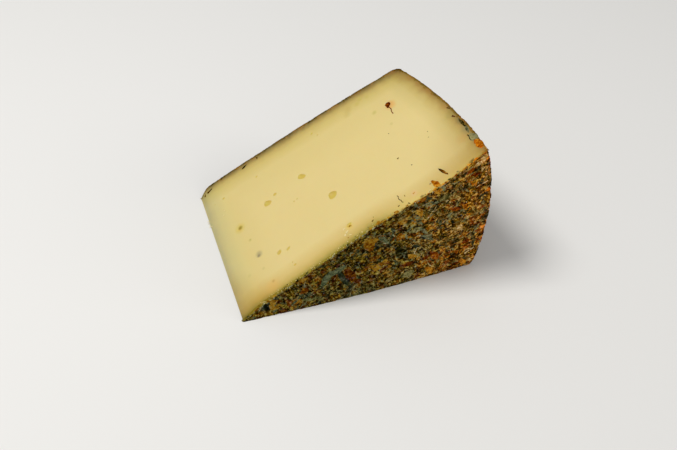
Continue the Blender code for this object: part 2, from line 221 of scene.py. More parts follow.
# Shreds of paste at the point's edge, that lie over the floor: the way outwards and back
# from the front end.
SHREDS = (
    Bit("stalk", "curd", 0.90, 0.75, -0.2, 71.8, 2.2, 0.30, 165),
    Bit("stalk", "curd", 0.80, 0.60, -0.3, 70.9, 1.8, 0.25, 215),
    Bit("stalk", "curd", 1.00, 0.90, -0.2, 67.8, 1.9, 0.28, 190),
    Bit("stalk", "curd", 0.90, 0.55, 0.0, 68.6, 1.5, 0.22, 140),
)

# Stains in the paste at the upper cut face: millimetres from the point and from the
# front, the least and most distance over which they fade, strength and colour.
STAINS = (
    (16.2, 54.1, 1.0, 4.2, 0.60, (0.64, 0.48, 0.07)),
    (16.4, 54.2, 0.3, 1.7, 0.90, (0.34, 0.24, 0.02)),
    (20.6, 30.2, 0.2, 1.6, 0.80, (0.15, 0.12, 0.08)),
    (21.0, 31.0, 0.5, 2.8, 0.55, (0.28, 0.24, 0.13)),
    (22.1, 8.5, 0.5, 6.0, 0.45, (0.72, 0.42, 0.11)),
    (23.0, 10.6, 0.2, 1.4, 0.60, (0.45, 0.26, 0.05)),
    (116.6, 62.6, 0.8, 4.0, 0.70, (0.74, 0.36, 0.08)),
    (107.6, 64.9, 0.3, 1.9, 0.55, (0.50, 0.42, 0.08)),
    (104.3, 79.7, 0.3, 1.9, 0.45, (0.50, 0.42, 0.08)),
    (101.9, 77.9, 0.3, 2.2, 0.40, (0.50, 0.42, 0.08)),
    (108.3, 77.8, 0.3, 1.8, 0.40, (0.50, 0.42, 0.08)),
    (96.3, 78.8, 0.5, 3.4, 0.45, (0.50, 0.38, 0.10)),
    (94.7, 75.8, 0.5, 3.0, 0.30, (0.50, 0.38, 0.10)),
    (20.5, 21.2, 0.2, 1.3, 0.40, (0.50, 0.42, 0.12)),
    (19.2, 42.9, 0.2, 1.4, 0.50, (0.50, 0.42, 0.12)),
    (12.1, 22.7, 0.2, 1.6, 0.30, (0.50, 0.42, 0.12)),
    (69.5, 84.5, 0.2, 1.6, 0.30, (0.50, 0.42, 0.12)),
    (112.1, 51.2, 0.2, 1.4, 0.35, (0.50, 0.42, 0.12)),
    (104.8, 5.0, 0.5, 2.6, 0.40, (0.75, 0.45, 0.25)),
    (97.9, 4.2, 1.0, 4.0, 0.25, (0.60, 0.48, 0.12)),
    (70.0, 11.2, 1.0, 2.6, 0.40, (0.75, 0.52, 0.08)),
    (138.6, 40.0, 0.5, 4.5, 0.40, (0.42, 0.25, 0.06)),
    (138.8, 33.0, 0.5, 4.0, 0.45, (0.34, 0.29, 0.07)),
    (142.4, 26.0, 1.0, 4.5, 0.75, (0.17, 0.15, 0.05)),
    (142.0, 19.5, 1.0, 4.5, 0.60, (0.28, 0.24, 0.09)),
    (137.0, 15.5, 0.5, 4.0, 0.45, (0.55, 0.33, 0.09)),
    (133.8, 58.0, 0.5, 3.5, 0.40, (0.34, 0.20, 0.05)),
    (128.6, 74.0, 0.5, 4.5, 0.40, (0.36, 0.24, 0.07)),
)

# Eyes in the upper cut face: millimetres from the point and from the front, length,
# width and turn in degrees.
EYES = (
    (68.9, 34.7, 5.4, 4.6, -10),
    (58.2, 58.4, 5.8, 3.2, -38),
    (35.5, 57.1, 5.2, 3.6, -20),
    (41.1, 59.4, 2.8, 1.8, -15),
    (16.5, 54.1, 1.8, 1.5, 60),
    (31.5, 24.0, 3.4, 2.4, 35),
    (36.7, 22.5, 3.4, 1.6, 20),
    (69.8, 12.0, 3.4, 2.4, 15),
    (73.2, 80.2, 1.9, 1.3, 20),
    (75.8, 76.7, 1.4, 1.0, 0),
    (35.5, 78.6, 1.8, 1.3, 10),
    (13.3, 80.2, 2.2, 1.4, 10),
    (7.4, 80.2, 1.2, 0.8, 10),
    (49.3, 47.0, 1.4, 1.1, 60),
    (51.3, 47.2, 1.4, 1.0, 20),
    (36.0, 13.5, 1.2, 1.0, 30),
    (36.7, 11.2, 2.2, 1.4, 10),
    (19.3, 42.8, 1.3, 1.0, 0),
)

# The depth of an eye over its width. Its cutter is a flattened ball whose middle lies
# that deep over the cut face, so that its rim is shallow, and which is wider than the eye
# by its spread. A noise of that size and strength makes it uneven.
EYE_DEPTH_SHARE = 0.18
EYE_SPREAD = 1.155
EYE_NOISE_SIZE = 0.6
EYE_NOISE_STRENGTH = 0.22


def colour_property(name, description, default):
    return FloatVectorProperty(
        name=name, description=description, default=default, size=3, min=0, max=1, subtype="COLOR"
    )


def length_property(name, description, millimetres):
    return FloatProperty(
        name=name,
        description=description,
        default=millimetres * MM,
        min=0,
        unit="LENGTH",
        subtype="DISTANCE",
    )


class WedgeSizes(bpy.types.PropertyGroup):
    """How the wedge was cut, and the wheel's own shape."""

    lower_cut: length_property("Lower cut", "From the point to the rim, underneath", 124.0)
    upper_cut: length_property("Upper cut", "From the point to the rim, on top", 144.6)
    angle: FloatProperty(
        name="Angle",
        description="Between the two cuts",
        default=math.radians(35.0),
        subtype="ANGLE",
    )
    rim_bulge: length_property("Rim bulge", "How far the rim stands out from its chord", 5.2)
    height: length_property("Height", "Of the wheel, at the point", 96.2)
    swell: length_property("Swell", "How far the flat faces swell halfway along", 1.5)
    rim_fall: length_property("Rim fall", "How far the rim draws in towards the back", 18.8)
    front_shoulder: length_property("Front shoulder", "Radius of the front edge", 1.2)
    back_shoulder: length_property("Back shoulder", "Radius of the back edge", 4.0)
    crust: length_property("Crust", "Thickness of the herb crust", 0.9)
    point_radius: length_property("Point", "Radius of the point's edge", 0.25)


class CheeseColours(bpy.types.PropertyGroup):
    """Colours of the paste and the crust, as linear values."""

    paste: colour_property("Paste", "Deep in the cut face", (0.735, 0.597, 0.256))
    eye: colour_property("Eye", "Inside the eyes", (0.580, 0.425, 0.050))


class HerbSettings(bpy.types.PropertyGroup):
    """How thickly the crust is covered."""

    cover: FloatProperty(
        name="Cover", description="Share of all herb pieces", default=1.0, min=0, max=1.5
    )
    seed: IntProperty(name="Seed", description="Changes where the pieces lie", default=11, min=0)


class Value:
    """A number that varies over a surface. Operators on it add Math nodes."""

    def __init__(self, shade, socket):
        self.shade = shade
        self.socket = socket

    def math(self, operation, *values):
        made = self.shade.node("ShaderNodeMath", {"operation": operation}, *values)
        return Value(self.shade, made.outputs[0])

    def __add__(self, other):
        return self.math("ADD", self, other)

    def __sub__(self, other):
        return self.math("SUBTRACT", self, other)

    def __rsub__(self, other):
        return self.math("SUBTRACT", other, self)

    def __mul__(self, other):
        return self.math("MULTIPLY", self, other)

    def __truediv__(self, other):
        return self.math("DIVIDE", self, other)

    def __pow__(self, other):
        return self.math("POWER", self, other)

    __radd__ = __add__
    __rmul__ = __mul__

    def exponent(self):
        return self.math("EXPONENT", self)

    def least(self, other):
        return self.math("MINIMUM", self, other)

    def most(self, other):
        return self.math("MAXIMUM", self, other)

    def fade(self, start, end):
        """1 at start, changing smoothly to 0 at end."""
        made = self.shade.node(
            "ShaderNodeMapRange",
            {"interpolation_type": "SMOOTHSTEP"},
            self, start, end, 1.0, 0.0,
        )
        return Value(self.shade, made.outputs[0])


class Shade:
    """A material, and the nodes that feed its Principled shader."""

    def __init__(self, name, **constants):
        self.material = bpy.data.materials.new(name)
        self.material.use_nodes = True
        self.tree = self.material.node_tree
        self.shader = self.tree.nodes["Principled BSDF"]
        for socket, value in constants.items():
            self.shader.inputs[socket.replace("_", " ")].default_value = value
        self.place = self.node("ShaderNodeTexCoord", {}).outputs["Object"]

    def node(self, kind, settings, *values, **named):
        """A node of a kind: its settings first, then its sockets in order or by name."""
        made = self.tree.nodes.new(kind)
        for name, value in settings.items():
            if name == "stops":
                self.set_stops(made.color_ramp, value)
            else:
                setattr(made, name, value)
        for socket, value in zip(made.inputs, values):
            self.feed(socket, value)
        for name, value in named.items():
            self.feed(made.inputs[name.replace("_", " ")], value)
        return made

    @staticmethod
    def set_stops(ramp, stops):
        while len(ramp.elements) < len(stops):
            ramp.elements.new(1.0)
        for element, (place, colour) in zip(ramp.elements, stops):
            element.position = place
            element.color = (*colour, 1.0)

    def feed(self, socket, value):
        """Links a value or a socket to a socket, or sets a constant."""
        if isinstance(value, Value):
            value = value.socket
        if isinstance(value, bpy.types.NodeSocket):
            self.tree.links.new(value, socket)
        elif socket.type == "RGBA":
            socket.default_value = (*value, 1.0)
        else:
            socket.default_value = value

    def coordinates(self):
        """x, y and z of the surface in metres."""
        parts = self.node("ShaderNodeSeparateXYZ", {}, self.place)
        return [Value(self, socket) for socket in parts.outputs]

    def noise(self, size, detail=2.0, roughness=0.5, place=None):
        """Noise from 0 to 1 with features of that size in metres."""
        made = self.node(
            "ShaderNodeTexNoise",
            {},
            Vector=place or self.place,
            Scale=1 / size,
            Detail=detail,
            Roughness=roughness,
        )
        return Value(self, made.outputs["Fac"])

    def chips(self, size):
        """A value from 0 to 1 for each of many small cells, with wavering borders."""
        waver = self.node("ShaderNodeTexNoise", {}, Vector=self.place, Scale=1 / size, Detail=2.0)
        moved = self.node(
            "ShaderNodeVectorMath",
            {"operation": "MULTIPLY_ADD"},
            waver.outputs["Color"],
            (size, size, size),
            self.place,
        )
        cells = self.node(
            "ShaderNodeTexVoronoi", {}, Vector=moved.outputs["Vector"], Scale=1 / size
        )
        parts = self.node("ShaderNodeSeparateColor", {}, cells.outputs["Color"])
        return Value(self, parts.outputs[0])

    def stretched(self, turn, length):
        """Object coordinates in which noise is drawn out along a turned X."""
        settings = {"vector_type": "TEXTURE"}
        made = self.node(
            "ShaderNodeMapping", settings, Vector=self.place, Rotation=turn, Scale=(length, 1, 1)
        )
        return made.outputs["Vector"]

    def distance_from(self, place):
        """How far the surface is from a place, in metres."""
        made = self.node(
            "ShaderNodeVectorMath", {"operation": "DISTANCE"}, self.place, tuple(place)
        )
        return Value(self, made.outputs["Value"])

    def attribute(self, name):
        made = self.node("ShaderNodeAttribute", {"attribute_name": name})
        return Value(self, made.outputs["Fac"])

    def ramp(self, value, stops):
        return self.node("ShaderNodeValToRGB", {"stops": stops}, value).outputs["Color"]

    def mix(self, factor, first, second, blend="MIX"):
        made = self.node("ShaderNodeMix", {"data_type": "RGBA", "blend_type": blend})
        for socket, value in zip((made.inputs[0], *made.inputs[6:8]), (factor, first, second)):
            self.feed(socket, value)
        return made.outputs[2]

    def bump(self, height, distance, strength=1.0):
        made = self.node(
            "ShaderNodeBump", {}, Height=height, Distance=distance, Strength=strength
        )
        self.feed(self.shader.inputs["Normal"], made.outputs["Normal"])

    def paint(self, colour, roughness=None):
        self.feed(self.shader.inputs["Base Color"], colour)
        if roughness is not None:
            self.feed(self.shader.inputs["Roughness"], roughness)
        return self.material


def wheel_circle(sizes):
    """The rim's radius, and the wheel's axis as x and z from the point. The rim is the
    arc through the ends of both cuts that stands out by its bulge."""
    low = Vector((sizes.lower_cut, 0.0))
    high = sizes.upper_cut * Vector((math.cos(sizes.angle), math.sin(sizes.angle)))
    chord = high - low
    radius = chord.length_squared / (8 * sizes.rim_bulge) + sizes.rim_bulge / 2
    out = Vector((chord.y, -chord.x)).normalized()
    return radius, (low + high) / 2 - out * (radius - sizes.rim_bulge)


# How fast both flat faces draw in from the point to the rim, how the rim's fall grows
# towards the back, how far the point's edge leans, and the radii of its two ends.
FRONT_TAPER = 0.0373
BACK_TAPER = 0.111
RIM_FALL_POWER = 1.88
POINT_SKEW = 0.013
FRONT_CORNER = 1.5 * MM
BACK_CORNER = 8.5 * MM

# The knife drew the upper cut's front edge in near the point and out near the rim: how
# far, how far from the point the most of the first is, and where the second begins and
# is full.
DRAWN_IN = 1.5 * MM
DRAWN_IN_AT = 20.0 * MM
DRAWN_OUT = 5.2 * MM
DRAWN_OUT_FROM = 73.0 * MM
DRAWN_OUT_TO = 126.0 * MM


def corner_fall(distance, radius):
    """How far a rounded corner falls away at a distance from its end."""
    left = np.clip(radius - distance, 0.0, radius)
    return radius - np.sqrt(radius**2 - left**2)


def drawn_in(from_point, inward):
    """How far the front face is drawn in at the upper cut, or out if negative."""
    share = np.clip((from_point - DRAWN_OUT_FROM) / (DRAWN_OUT_TO - DRAWN_OUT_FROM), 0, 1)
    near_point = from_point / DRAWN_IN_AT
    return inward * near_point * np.exp(1 - near_point) - DRAWN_OUT * share**2 * (3 - 2 * share)


def flat_faces(along, up, sizes, inward):
    """Where the front and the back face lie, over places along and up from the point."""
    from_point = np.hypot(along, up)
    turn = np.arctan2(up, along)
    reach = np.interp(turn, (0, sizes.angle), (sizes.lower_cut, sizes.upper_cut))
    swell = sizes.swell * np.sin(np.pi * np.clip(from_point / reach, 0, 1))
    front = FRONT_TAPER * from_point - swell + corner_fall(from_point, FRONT_CORNER)
    front = front + drawn_in(from_point, inward) * np.clip(turn / sizes.angle, 0, 1.1)
    back = sizes.height - BACK_TAPER * from_point + swell
    return front, back - corner_fall(from_point, BACK_CORNER)


def rim_draw(tall, sizes):
    """How much nearer the rim is to the axis than at the front."""
    fall = sizes.rim_fall * np.clip(tall / sizes.height, 0, 1) ** RIM_FALL_POWER
    return fall + POINT_SKEW * tall


# The rim's place and the flat faces' depend on each other: this many rounds settle them.
TAPER_ROUNDS = 3


def taper(places, sizes, inward):
    """Gives a straight-sided wheel its swollen, tapering flat faces, its rounded corners
    at the point and the rim that draws in towards the back. Places are an array of x, y
    and z from the wheel's axis and front face."""
    radius, axis = wheel_circle(sizes)
    x, y, z = places.T
    drawn = 1.0
    for _ in range(TAPER_ROUNDS):
        front, back = flat_faces(x * drawn + axis.x, z * drawn + axis.y, sizes, inward)
        tall = front + (back - front) * y / sizes.height
        drawn = 1 - rim_draw(tall, sizes) / radius
    return np.column_stack((x * drawn, tall, z * drawn))


def pressed_in(places, sizes):
    """Moves what stands out of the wheel to its surface."""
    radius, axis = wheel_circle(sizes)
    x, tall, z = (places - np.array(POINT)).T
    front, back = flat_faces(x, z, sizes, DRAWN_IN)
    tall = np.clip(tall, front, back)
    from_axis = np.hypot(x - axis.x, z - axis.y)
    share = np.minimum(1, (radius - rim_draw(tall, sizes)) / from_axis)
    x = axis.x + (x - axis.x) * share
    z = axis.y + (z - axis.y) * share
    return np.column_stack((x, tall, z)) + np.array(POINT)


def deselect_all():
    """Selects nothing."""
    bpy.ops.object.select_all(action="DESELECT")


def only(piece):
    """Selects one piece and makes it the active one."""
    deselect_all()
    piece.select_set(True)
    bpy.context.view_layer.objects.active = piece


def new_piece(name, add, **options):
    """Adds a primitive with nothing else selected, and names it."""
    deselect_all()
    add(**options)
    piece = bpy.context.object
    piece.name = name
    piece.data.name = name
    return piece


def edit(piece):
    """Opens a piece in Edit Mode."""
    only(piece)
    bpy.ops.object.mode_set(mode="EDIT")


def done():
    """Leaves Edit Mode."""
    bpy.ops.object.mode_set(mode="OBJECT")


def pick(piece, kind, test):
    """Selects the vertices, edges or faces whose middle passes the test."""
    bpy.ops.mesh.select_mode(type=kind)
    bpy.ops.mesh.select_all(action="DESELECT")
    mesh = bmesh.from_edit_mesh(piece.data)
    for part in {"VERT": mesh.verts, "EDGE": mesh.edges, "FACE": mesh.faces}[kind]:
        corners = [part] if kind == "VERT" else part.verts
        if test(sum((v.co for v in corners), Vector()) / len(corners)):
            part.select_set(True)
    bmesh.update_edit_mesh(piece.data)


def apply_modifier(piece, kind, **settings):
    """Adds a modifier and applies it."""
    only(piece)
    change = piece.modifiers.new(kind.lower(), kind)
    for name, value in settings.items():
        setattr(change, name, value)
    bpy.ops.object.modifier_apply(modifier=change.name)


def places_of(piece):
    """The places of a piece's corners, as an array."""
    places = np.empty(len(piece.data.vertices) * 3)
    piece.data.vertices.foreach_get("co", places)
    return places.reshape(-1, 3)


def put_places(piece, places):
    piece.data.vertices.foreach_set("co", np.ravel(places))
    piece.data.update()


def put_in_order(piece):
    """Sorts the faces, and starts each at its lowest corner. The modelling tools leave
    them in another order on every run, and what is drawn or cut by it would differ."""
    corners = places_of(piece)
    faces = []
    for face in piece.data.polygons:
        ring = face.vertices[:]
        first = ring.index(min(ring))
        faces.append(ring[first:] + ring[:first])
    piece.data.clear_geometry()
    piece.data.from_pydata(corners, [], sorted(faces))


# The distance between corners of the wheel's surface, the faces in a rounded edge, how
# near to a line corners are picked, and how far from the rim the flat faces are divided.
SPACING = 1.2 * MM
SHOULDER_STEPS = 4
NEAR = 0.1 * MM
RIM_MARGIN = 5 * MM


def half_section(name, sizes, inset):
    """The wheel's half section as a line from the axis along the front face, over the
    rim and back, on XY with the axis along Y, shaped from a plane."""
    radius = wheel_circle(sizes)[0] - inset
    low, high = inset, sizes.height - inset
    piece = new_piece(name, bpy.ops.mesh.primitive_plane_add, size=1.0)
    edit(piece)
    bpy.ops.transform.translate(value=(0.5, 0.5, 0.0))
    bpy.ops.transform.resize(value=(radius, high - low, 1.0), center_override=(0, 0, 0))
    bpy.ops.transform.translate(value=(0.0, low, 0.0))
    for place, shoulder in ((low, sizes.front_shoulder), (high, sizes.back_shoulder)):
        pick(piece, "VERT", lambda co: co.x > radius - MM and abs(co.y - place) < MM)
        bpy.ops.mesh.bevel(affect="VERTICES", offset=shoulder, segments=SHOULDER_STEPS)
    bpy.ops.mesh.select_all(action="SELECT")
    bpy.ops.mesh.delete(type="ONLY_FACE")
    pick(piece, "EDGE", lambda co: co.x < NEAR)
    bpy.ops.mesh.delete(type="EDGE")
    for cuts, test in (
        (radius / SPACING, lambda co: MM < co.x < radius - RIM_MARGIN),
        (sizes.height / SPACING, lambda co: co.x > radius - NEAR),
    ):
        pick(piece, "EDGE", test)
        bpy.ops.mesh.subdivide(number_cuts=round(cuts))
    return piece


def wheel_sector(name, sizes, inset, crags, inward):
    """A closed sector of the wheel that is larger than the wedge. Crags are pairs of a
    size and a height in metres, and inward is how far the front edge is drawn in."""
    piece = half_section(name, sizes, inset)
    radius, axis = wheel_circle(sizes)
    turn = SPIN_END - SPIN_START
    bpy.ops.mesh.select_all(action="SELECT")
    bpy.ops.mesh.spin(
        steps=round(turn * radius / SPACING), angle=turn, center=(0, 0, 0), axis=(0, 1, 0)
    )
    bpy.ops.mesh.select_all(action="SELECT")
    bpy.ops.mesh.remove_doubles(threshold=NEAR / 10)
    pick(piece, "VERT", lambda co: co.xz.length < NEAR)
    bpy.ops.mesh.edge_face_add()
    bpy.ops.mesh.select_all(action="SELECT")
    bpy.ops.mesh.fill_holes(sides=0)
    bpy.ops.mesh.select_all(action="SELECT")
    bpy.ops.mesh.normals_make_consistent(inside=False)
    done()
    put_in_order(piece)
    piece.data.transform(Matrix.Rotation(-SPIN_START, 4, "Y"))
    put_places(piece, taper(places_of(piece), sizes, inward))
    piece.data.transform(Matrix.Translation(POINT + Vector((axis.x, 0.0, axis.y))))
    for number, (size, height) in enumerate(crags):
        texture = bpy.data.textures.new(f"{name}_{number}", "CLOUDS")
        texture.noise_scale = size
        texture.noise_depth = 1
        apply_modifier(
            piece,
            "DISPLACE",
            texture=texture,
            texture_coords="LOCAL",
            strength=height,
            mid_level=0.5,
        )
    return piece


def upper_normal(sizes):
    """The way that the upper cut faces. The cut holds the skewed line of the point."""
    steep = math.sin(sizes.angle)
    return Vector((-steep, -POINT_SKEW * steep, math.cos(sizes.angle))).normalized()


def cut(piece, sizes, drop, lift):
    """Makes both of the wedge's cuts through a piece: the upper one drop metres under
    the cut face of the frame, and the lower one lift metres over what it rests on."""
    edit(piece)
    normal = upper_normal(sizes)
    for place, way in (
        (POINT - normal * drop, normal),
        (Vector((0.0, 0.0, lift)), Vector((0.0, 0.0, -1.0))),
    ):
        bpy.ops.mesh.select_all(action="SELECT")
        bpy.ops.mesh.bisect(
            plane_co=place, plane_no=way, use_fill=True, clear_outer=True, threshold=1e-7
        )
    done()


def boolean(piece, other, operation):
    """Cuts or keeps what lies within the other piece, and makes sure that it did."""
    put_in_order(piece)
    put_in_order(other)
    before = len(piece.data.vertices)
    apply_modifier(piece, "BOOLEAN", object=other, operation=operation, solver="MANIFOLD")
    if len(piece.data.vertices) == before:
        raise RuntimeError(f"{other.name} left {piece.name} as it was")


def copy_of(piece, name):
    """A copy with its own mesh."""
    only(piece)
    bpy.ops.object.duplicate()
    made = bpy.context.object
    made.name = name
    made.data.name = name
    return made


def discard(piece):
    """Deletes a piece and its mesh."""
    mesh = piece.data
    bpy.data.objects.remove(piece)
    bpy.data.meshes.remove(mesh)


def finish_piece(piece, material):
    """Gives a piece its material and its part in the table of pieces."""
    piece.data.materials.clear()
    piece.data.materials.append(material)
    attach(piece, BODY)
    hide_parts(NODE)


def on_upper_cut(sizes, from_point, from_front, drop=0.0):
    """A frame on the upper cut face, drop metres under it, with X along the cut away
    from the point and Z out of it."""
    along = Vector((math.cos(sizes.angle), 0.0, math.sin(sizes.angle)))
    out = upper_normal(sizes)
    place = POINT + (along * from_point + Vector((-POINT_SKEW, 1.0, 0.0)) * from_front) * MM
    axes = Matrix((along, out.cross(along), out)).transposed().to_4x4()
    return Matrix.Translation(place - out * drop) @ axes


# How far the body's cut faces lie inside those of the frame, and the herbs' cut ends.
BODY_DROP = 0.12 * MM
BODY_LIFT = 0.05 * MM
HERB_DROP = 0.04 * MM
HERB_LIFT = 0.02 * MM

# How far the rind lies inside the frame's, so that its relief and the herbs fit, and the
# sizes and heights of its crags and of the paste's under it.
RIND_INSET = 0.15 * MM
RIND_CRAGS = ((7 * MM, 0.7 * MM), (2.5 * MM, 0.4 * MM))
PASTE_CRAGS = ((7 * MM, 0.9 * MM), (2.2 * MM, 0.8 * MM))

# How much thicker the crust is along the upper cut's front edge, near the point.
THICKER_CRUST = 1.2 * MM


def wedge_body(sizes):
    """The whole wedge with both cuts made and its point's edge rounded, and the rind's
    uncut surface, from which the herbs take their places."""
    rind = wheel_sector("rind", sizes, RIND_INSET, RIND_CRAGS, DRAWN_IN)
    body = copy_of(rind, "body")
    knife = both_cuts(sizes)
    boolean(body, knife, "INTERSECT")
    discard(knife)
    return body, rind


# The knife's cut faces reach past the rim, begin this far before the point's front end
# and go this far back, in metres. Each is divided into a grid this many times, so that no
# face of the wedge has too many corners. Its edge at the point has this many faces.
KNIFE_REACH = 0.2
KNIFE_BEFORE = 0.03
KNIFE_DEPTH = 0.16
CUT_FACES = 39
EDGE_STEPS = 6


def both_cuts(sizes):
    """The space between the two cuts of the body, as a prism with a rounded edge at the
    point."""
    inward = (BODY_DROP + BODY_LIFT * math.cos(sizes.angle)) / math.sin(sizes.angle)
    lean = Vector((-POINT_SKEW, 1.0, 0.0))
    start = POINT + Vector((inward, 0.0, BODY_LIFT)) - lean * KNIFE_BEFORE
    low = Vector((KNIFE_REACH, 0.0, 0.0))
    high = Vector((math.cos(sizes.angle), 0.0, math.sin(sizes.angle))) * KNIFE_REACH
    piece = new_piece("knife", bpy.ops.mesh.primitive_plane_add, size=1.0)
    put_places(piece, [start, start + low, start + high, start + low + high])
    edit(piece)
    pick(piece, "VERT", lambda co: (co - start).length < MM)
    tangent = sizes.point_radius / math.tan(sizes.angle / 2)
    bpy.ops.mesh.bevel(affect="VERTICES", offset=tangent, segments=EDGE_STEPS)
    bpy.ops.mesh.select_all(action="SELECT")
    bpy.ops.mesh.extrude_region_move(TRANSFORM_OT_translate={"value": lean * KNIFE_DEPTH})
    middle = start.y + KNIFE_DEPTH / 2
    pick(piece, "FACE", lambda co: abs(co.y - middle) < MM and co.x > start.x + 5 * MM)
    bpy.ops.mesh.subdivide(number_cuts=CUT_FACES)
    bpy.ops.mesh.select_all(action="SELECT")
    bpy.ops.mesh.normals_make_consistent(inside=False)
    done()
    return piece


SMOOTH_UNDER = math.radians(40)


def shade_smooth_but_cuts(piece, sizes):
    """Smooth shading everywhere but on the flat cut faces."""
    only(piece)
    bpy.ops.object.shade_smooth_by_angle(angle=SMOOTH_UNDER)
    edit(piece)
    normal = upper_normal(sizes)
    flat = POINT.dot(normal) - BODY_DROP
    slack = 0.01 * MM
    pick(piece, "FACE", lambda co: abs(co.dot(normal) - flat) < slack or co.z < BODY_LIFT + slack)
    bpy.ops.mesh.faces_shade_flat()
    done()


def inner_wheel(sizes):
    """The sector of the wheel within the crust, with an uneven surface."""
    inset = RIND_INSET + sizes.crust
    return wheel_sector("inner", sizes, inset, PASTE_CRAGS, DRAWN_IN + THICKER_CRUST)


def under_cut(sizes, x, y, z):
    """How far a point lies under the upper cut face of the body."""
    normal = upper_normal(sizes)
    flat = POINT.dot(normal) - BODY_DROP
    return flat - (x * normal.x + y * normal.y + z * normal.z)


# How the paste darkens towards each edge of a cut face: shares of its colour at
# distances in millimetres from the edge. The front edge is darker near the point than
# near the rim, and changes over between these distances.
TOWARDS_FRONT_LEFT = (
    (0.3, (0.52, 0.51, 0.16)),
    (1.5, (0.42, 0.40, 0.11)),
    (2.5, (0.56, 0.53, 0.24)),
    (4.5, (0.77, 0.69, 0.43)),
    (8.0, (0.91, 0.85, 0.71)),
    (14.0, (1.0, 1.0, 1.0)),
)
TOWARDS_FRONT_RIGHT = (
    (0.0, (1.00, 0.94, 0.46)),
    (0.5, (0.98, 0.92, 0.54)),
    (1.5, (0.93, 0.87, 0.60)),
    (4.0, (0.90, 0.84, 0.66)),
    (8.0, (0.93, 0.89, 0.80)),
    (12.0, (1.0, 1.0, 1.0)),
)
TOWARDS_BACK = (
    (0.3, (0.17, 0.15, 0.09)),
    (1.2, (0.27, 0.23, 0.14)),
    (3.0, (0.52, 0.46, 0.31)),
    (5.0, (0.76, 0.71, 0.52)),
    (8.0, (0.90, 0.88, 0.71)),
    (14.0, (1.0, 1.0, 1.0)),
)
TOWARDS_RIM = (
    (0.3, (0.30, 0.24, 0.10)),
    (1.5, (0.50, 0.40, 0.20)),
    (3.0, (0.66, 0.58, 0.38)),
    (5.0, (0.79, 0.75, 0.57)),
    (8.0, (0.90, 0.90, 0.82)),
    (14.0, (1.0, 1.0, 1.0)),
)
TOWARDS_POINT = (
    (0.0, (0.70, 0.75, 0.92)),
    (1.0, (0.64, 0.71, 0.86)),
    (3.0, (0.76, 0.81, 0.90)),
    (6.0, (0.86, 0.92, 0.97)),
    (12.0, (0.97, 1.0, 1.0)),
    (16.0, (1.0, 1.0, 1.0)),
)
RAMP_LENGTH = 16.0
RIGHT_FROM = 84 * MM
LEFT_TO = 62 * MM


def edge_distances(shade, sizes):
    """How far a point lies from the front, the back, the rim and the point, and its way
    along the wedge."""
    x, y, z = shade.coordinates()
    radius, axis = wheel_circle(sizes)
    along, tall = x - POINT.x, y - POINT.y
    from_point = (along**2 + z**2) ** 0.5
    from_axis = ((along - axis.x) ** 2 + (z - axis.y) ** 2) ** 0.5
    near_point = from_point / DRAWN_IN_AT
    drawn = near_point * (1 - near_point).exponent() * DRAWN_IN
    drawn = drawn - (1 - from_point.fade(DRAWN_OUT_FROM, DRAWN_OUT_TO)) * DRAWN_OUT
    height = (z / (along.most(MM) * math.tan(sizes.angle))).least(1)
    share = from_point / sizes.upper_cut
    swell = share * (1 - share) * (4 * sizes.swell)
    to_front = tall - from_point * FRONT_TAPER + swell - drawn * height
    to_back = sizes.height - from_point * BACK_TAPER + swell - tall
    fall = (tall.most(0) / sizes.height) ** RIM_FALL_POWER * sizes.rim_fall
    to_rim = radius - fall - tall * POINT_SKEW - from_axis
    return to_front, to_back, to_rim, from_point, along


def cut_colour(shade, sizes, colours):
    """The colour of a cut face: cream paste that turns tan, then brown, towards the
    crust, and greener towards the point."""
    to_front, to_back, to_rim, from_point, along = edge_distances(shade, sizes)
    cloudy = shade.noise(12 * MM, 3.0)
    uneven = shade.noise(4.0 * MM, 3.0)
    waver = (uneven - 0.5) * (2.0 * MM) + (cloudy - 0.5) * (3 * MM)

    def towards(distance, stops):
        """The shares of colour near an edge. They waver less the nearer it is."""
        places = tuple((place / RAMP_LENGTH, share) for place, share in stops)
        far = (distance / (4 * MM) + 0.3).least(1).most(0)
        return shade.ramp((distance + waver * far) / (RAMP_LENGTH * MM), places)

    left = shade.mix(
        along.fade(LEFT_TO, RIGHT_FROM),
        towards(to_front, TOWARDS_FRONT_RIGHT),
        towards(to_front, TOWARDS_FRONT_LEFT),
    )
    colour = shade.mix(1.0, colours.paste, left, "MULTIPLY")
    for distance, stops in (
        (to_back, TOWARDS_BACK), (to_rim, TOWARDS_RIM), (from_point, TOWARDS_POINT)
    ):
        colour = shade.mix(1.0, colour, towards(distance, stops), "MULTIPLY")
    rusty = shade.noise(5 * MM, 2.0).fade(0.58, 0.48)
    near = to_back.least(to_rim).fade(0.8 * MM, 4 * MM)
    colour = shade.mix(rusty * near * 0.55, colour, (0.400, 0.200, 0.040))
    wide = to_back.fade(12 * MM, 40 * MM).most(from_point.fade(14 * MM, 34 * MM))
    colour = shade.mix(wide, colour, (0.95, 0.95, 0.90), "MULTIPLY")
    for distance, tint in ((to_front, (0.82, 0.76, 0.64)), (to_back, (0.96, 0.95, 0.93))):
        near_corner = (to_rim + distance * 0.7).fade(8 * MM, 46 * MM)
        colour = shade.mix(near_corner, colour, tint, "MULTIPLY")
    corner = (from_point + to_front * 0.8).fade(12 * MM, 34 * MM)
    colour = shade.mix(corner * 0.8, colour, (0.90, 0.76, 0.52), "MULTIPLY")
    mottle = 0.5 + (cloudy - 0.5) * 0.5 + (uneven - 0.5) * 0.25
    return shade.mix(mottle * 0.20, colour, (0.80, 0.74, 0.60), "MULTIPLY"), uneven


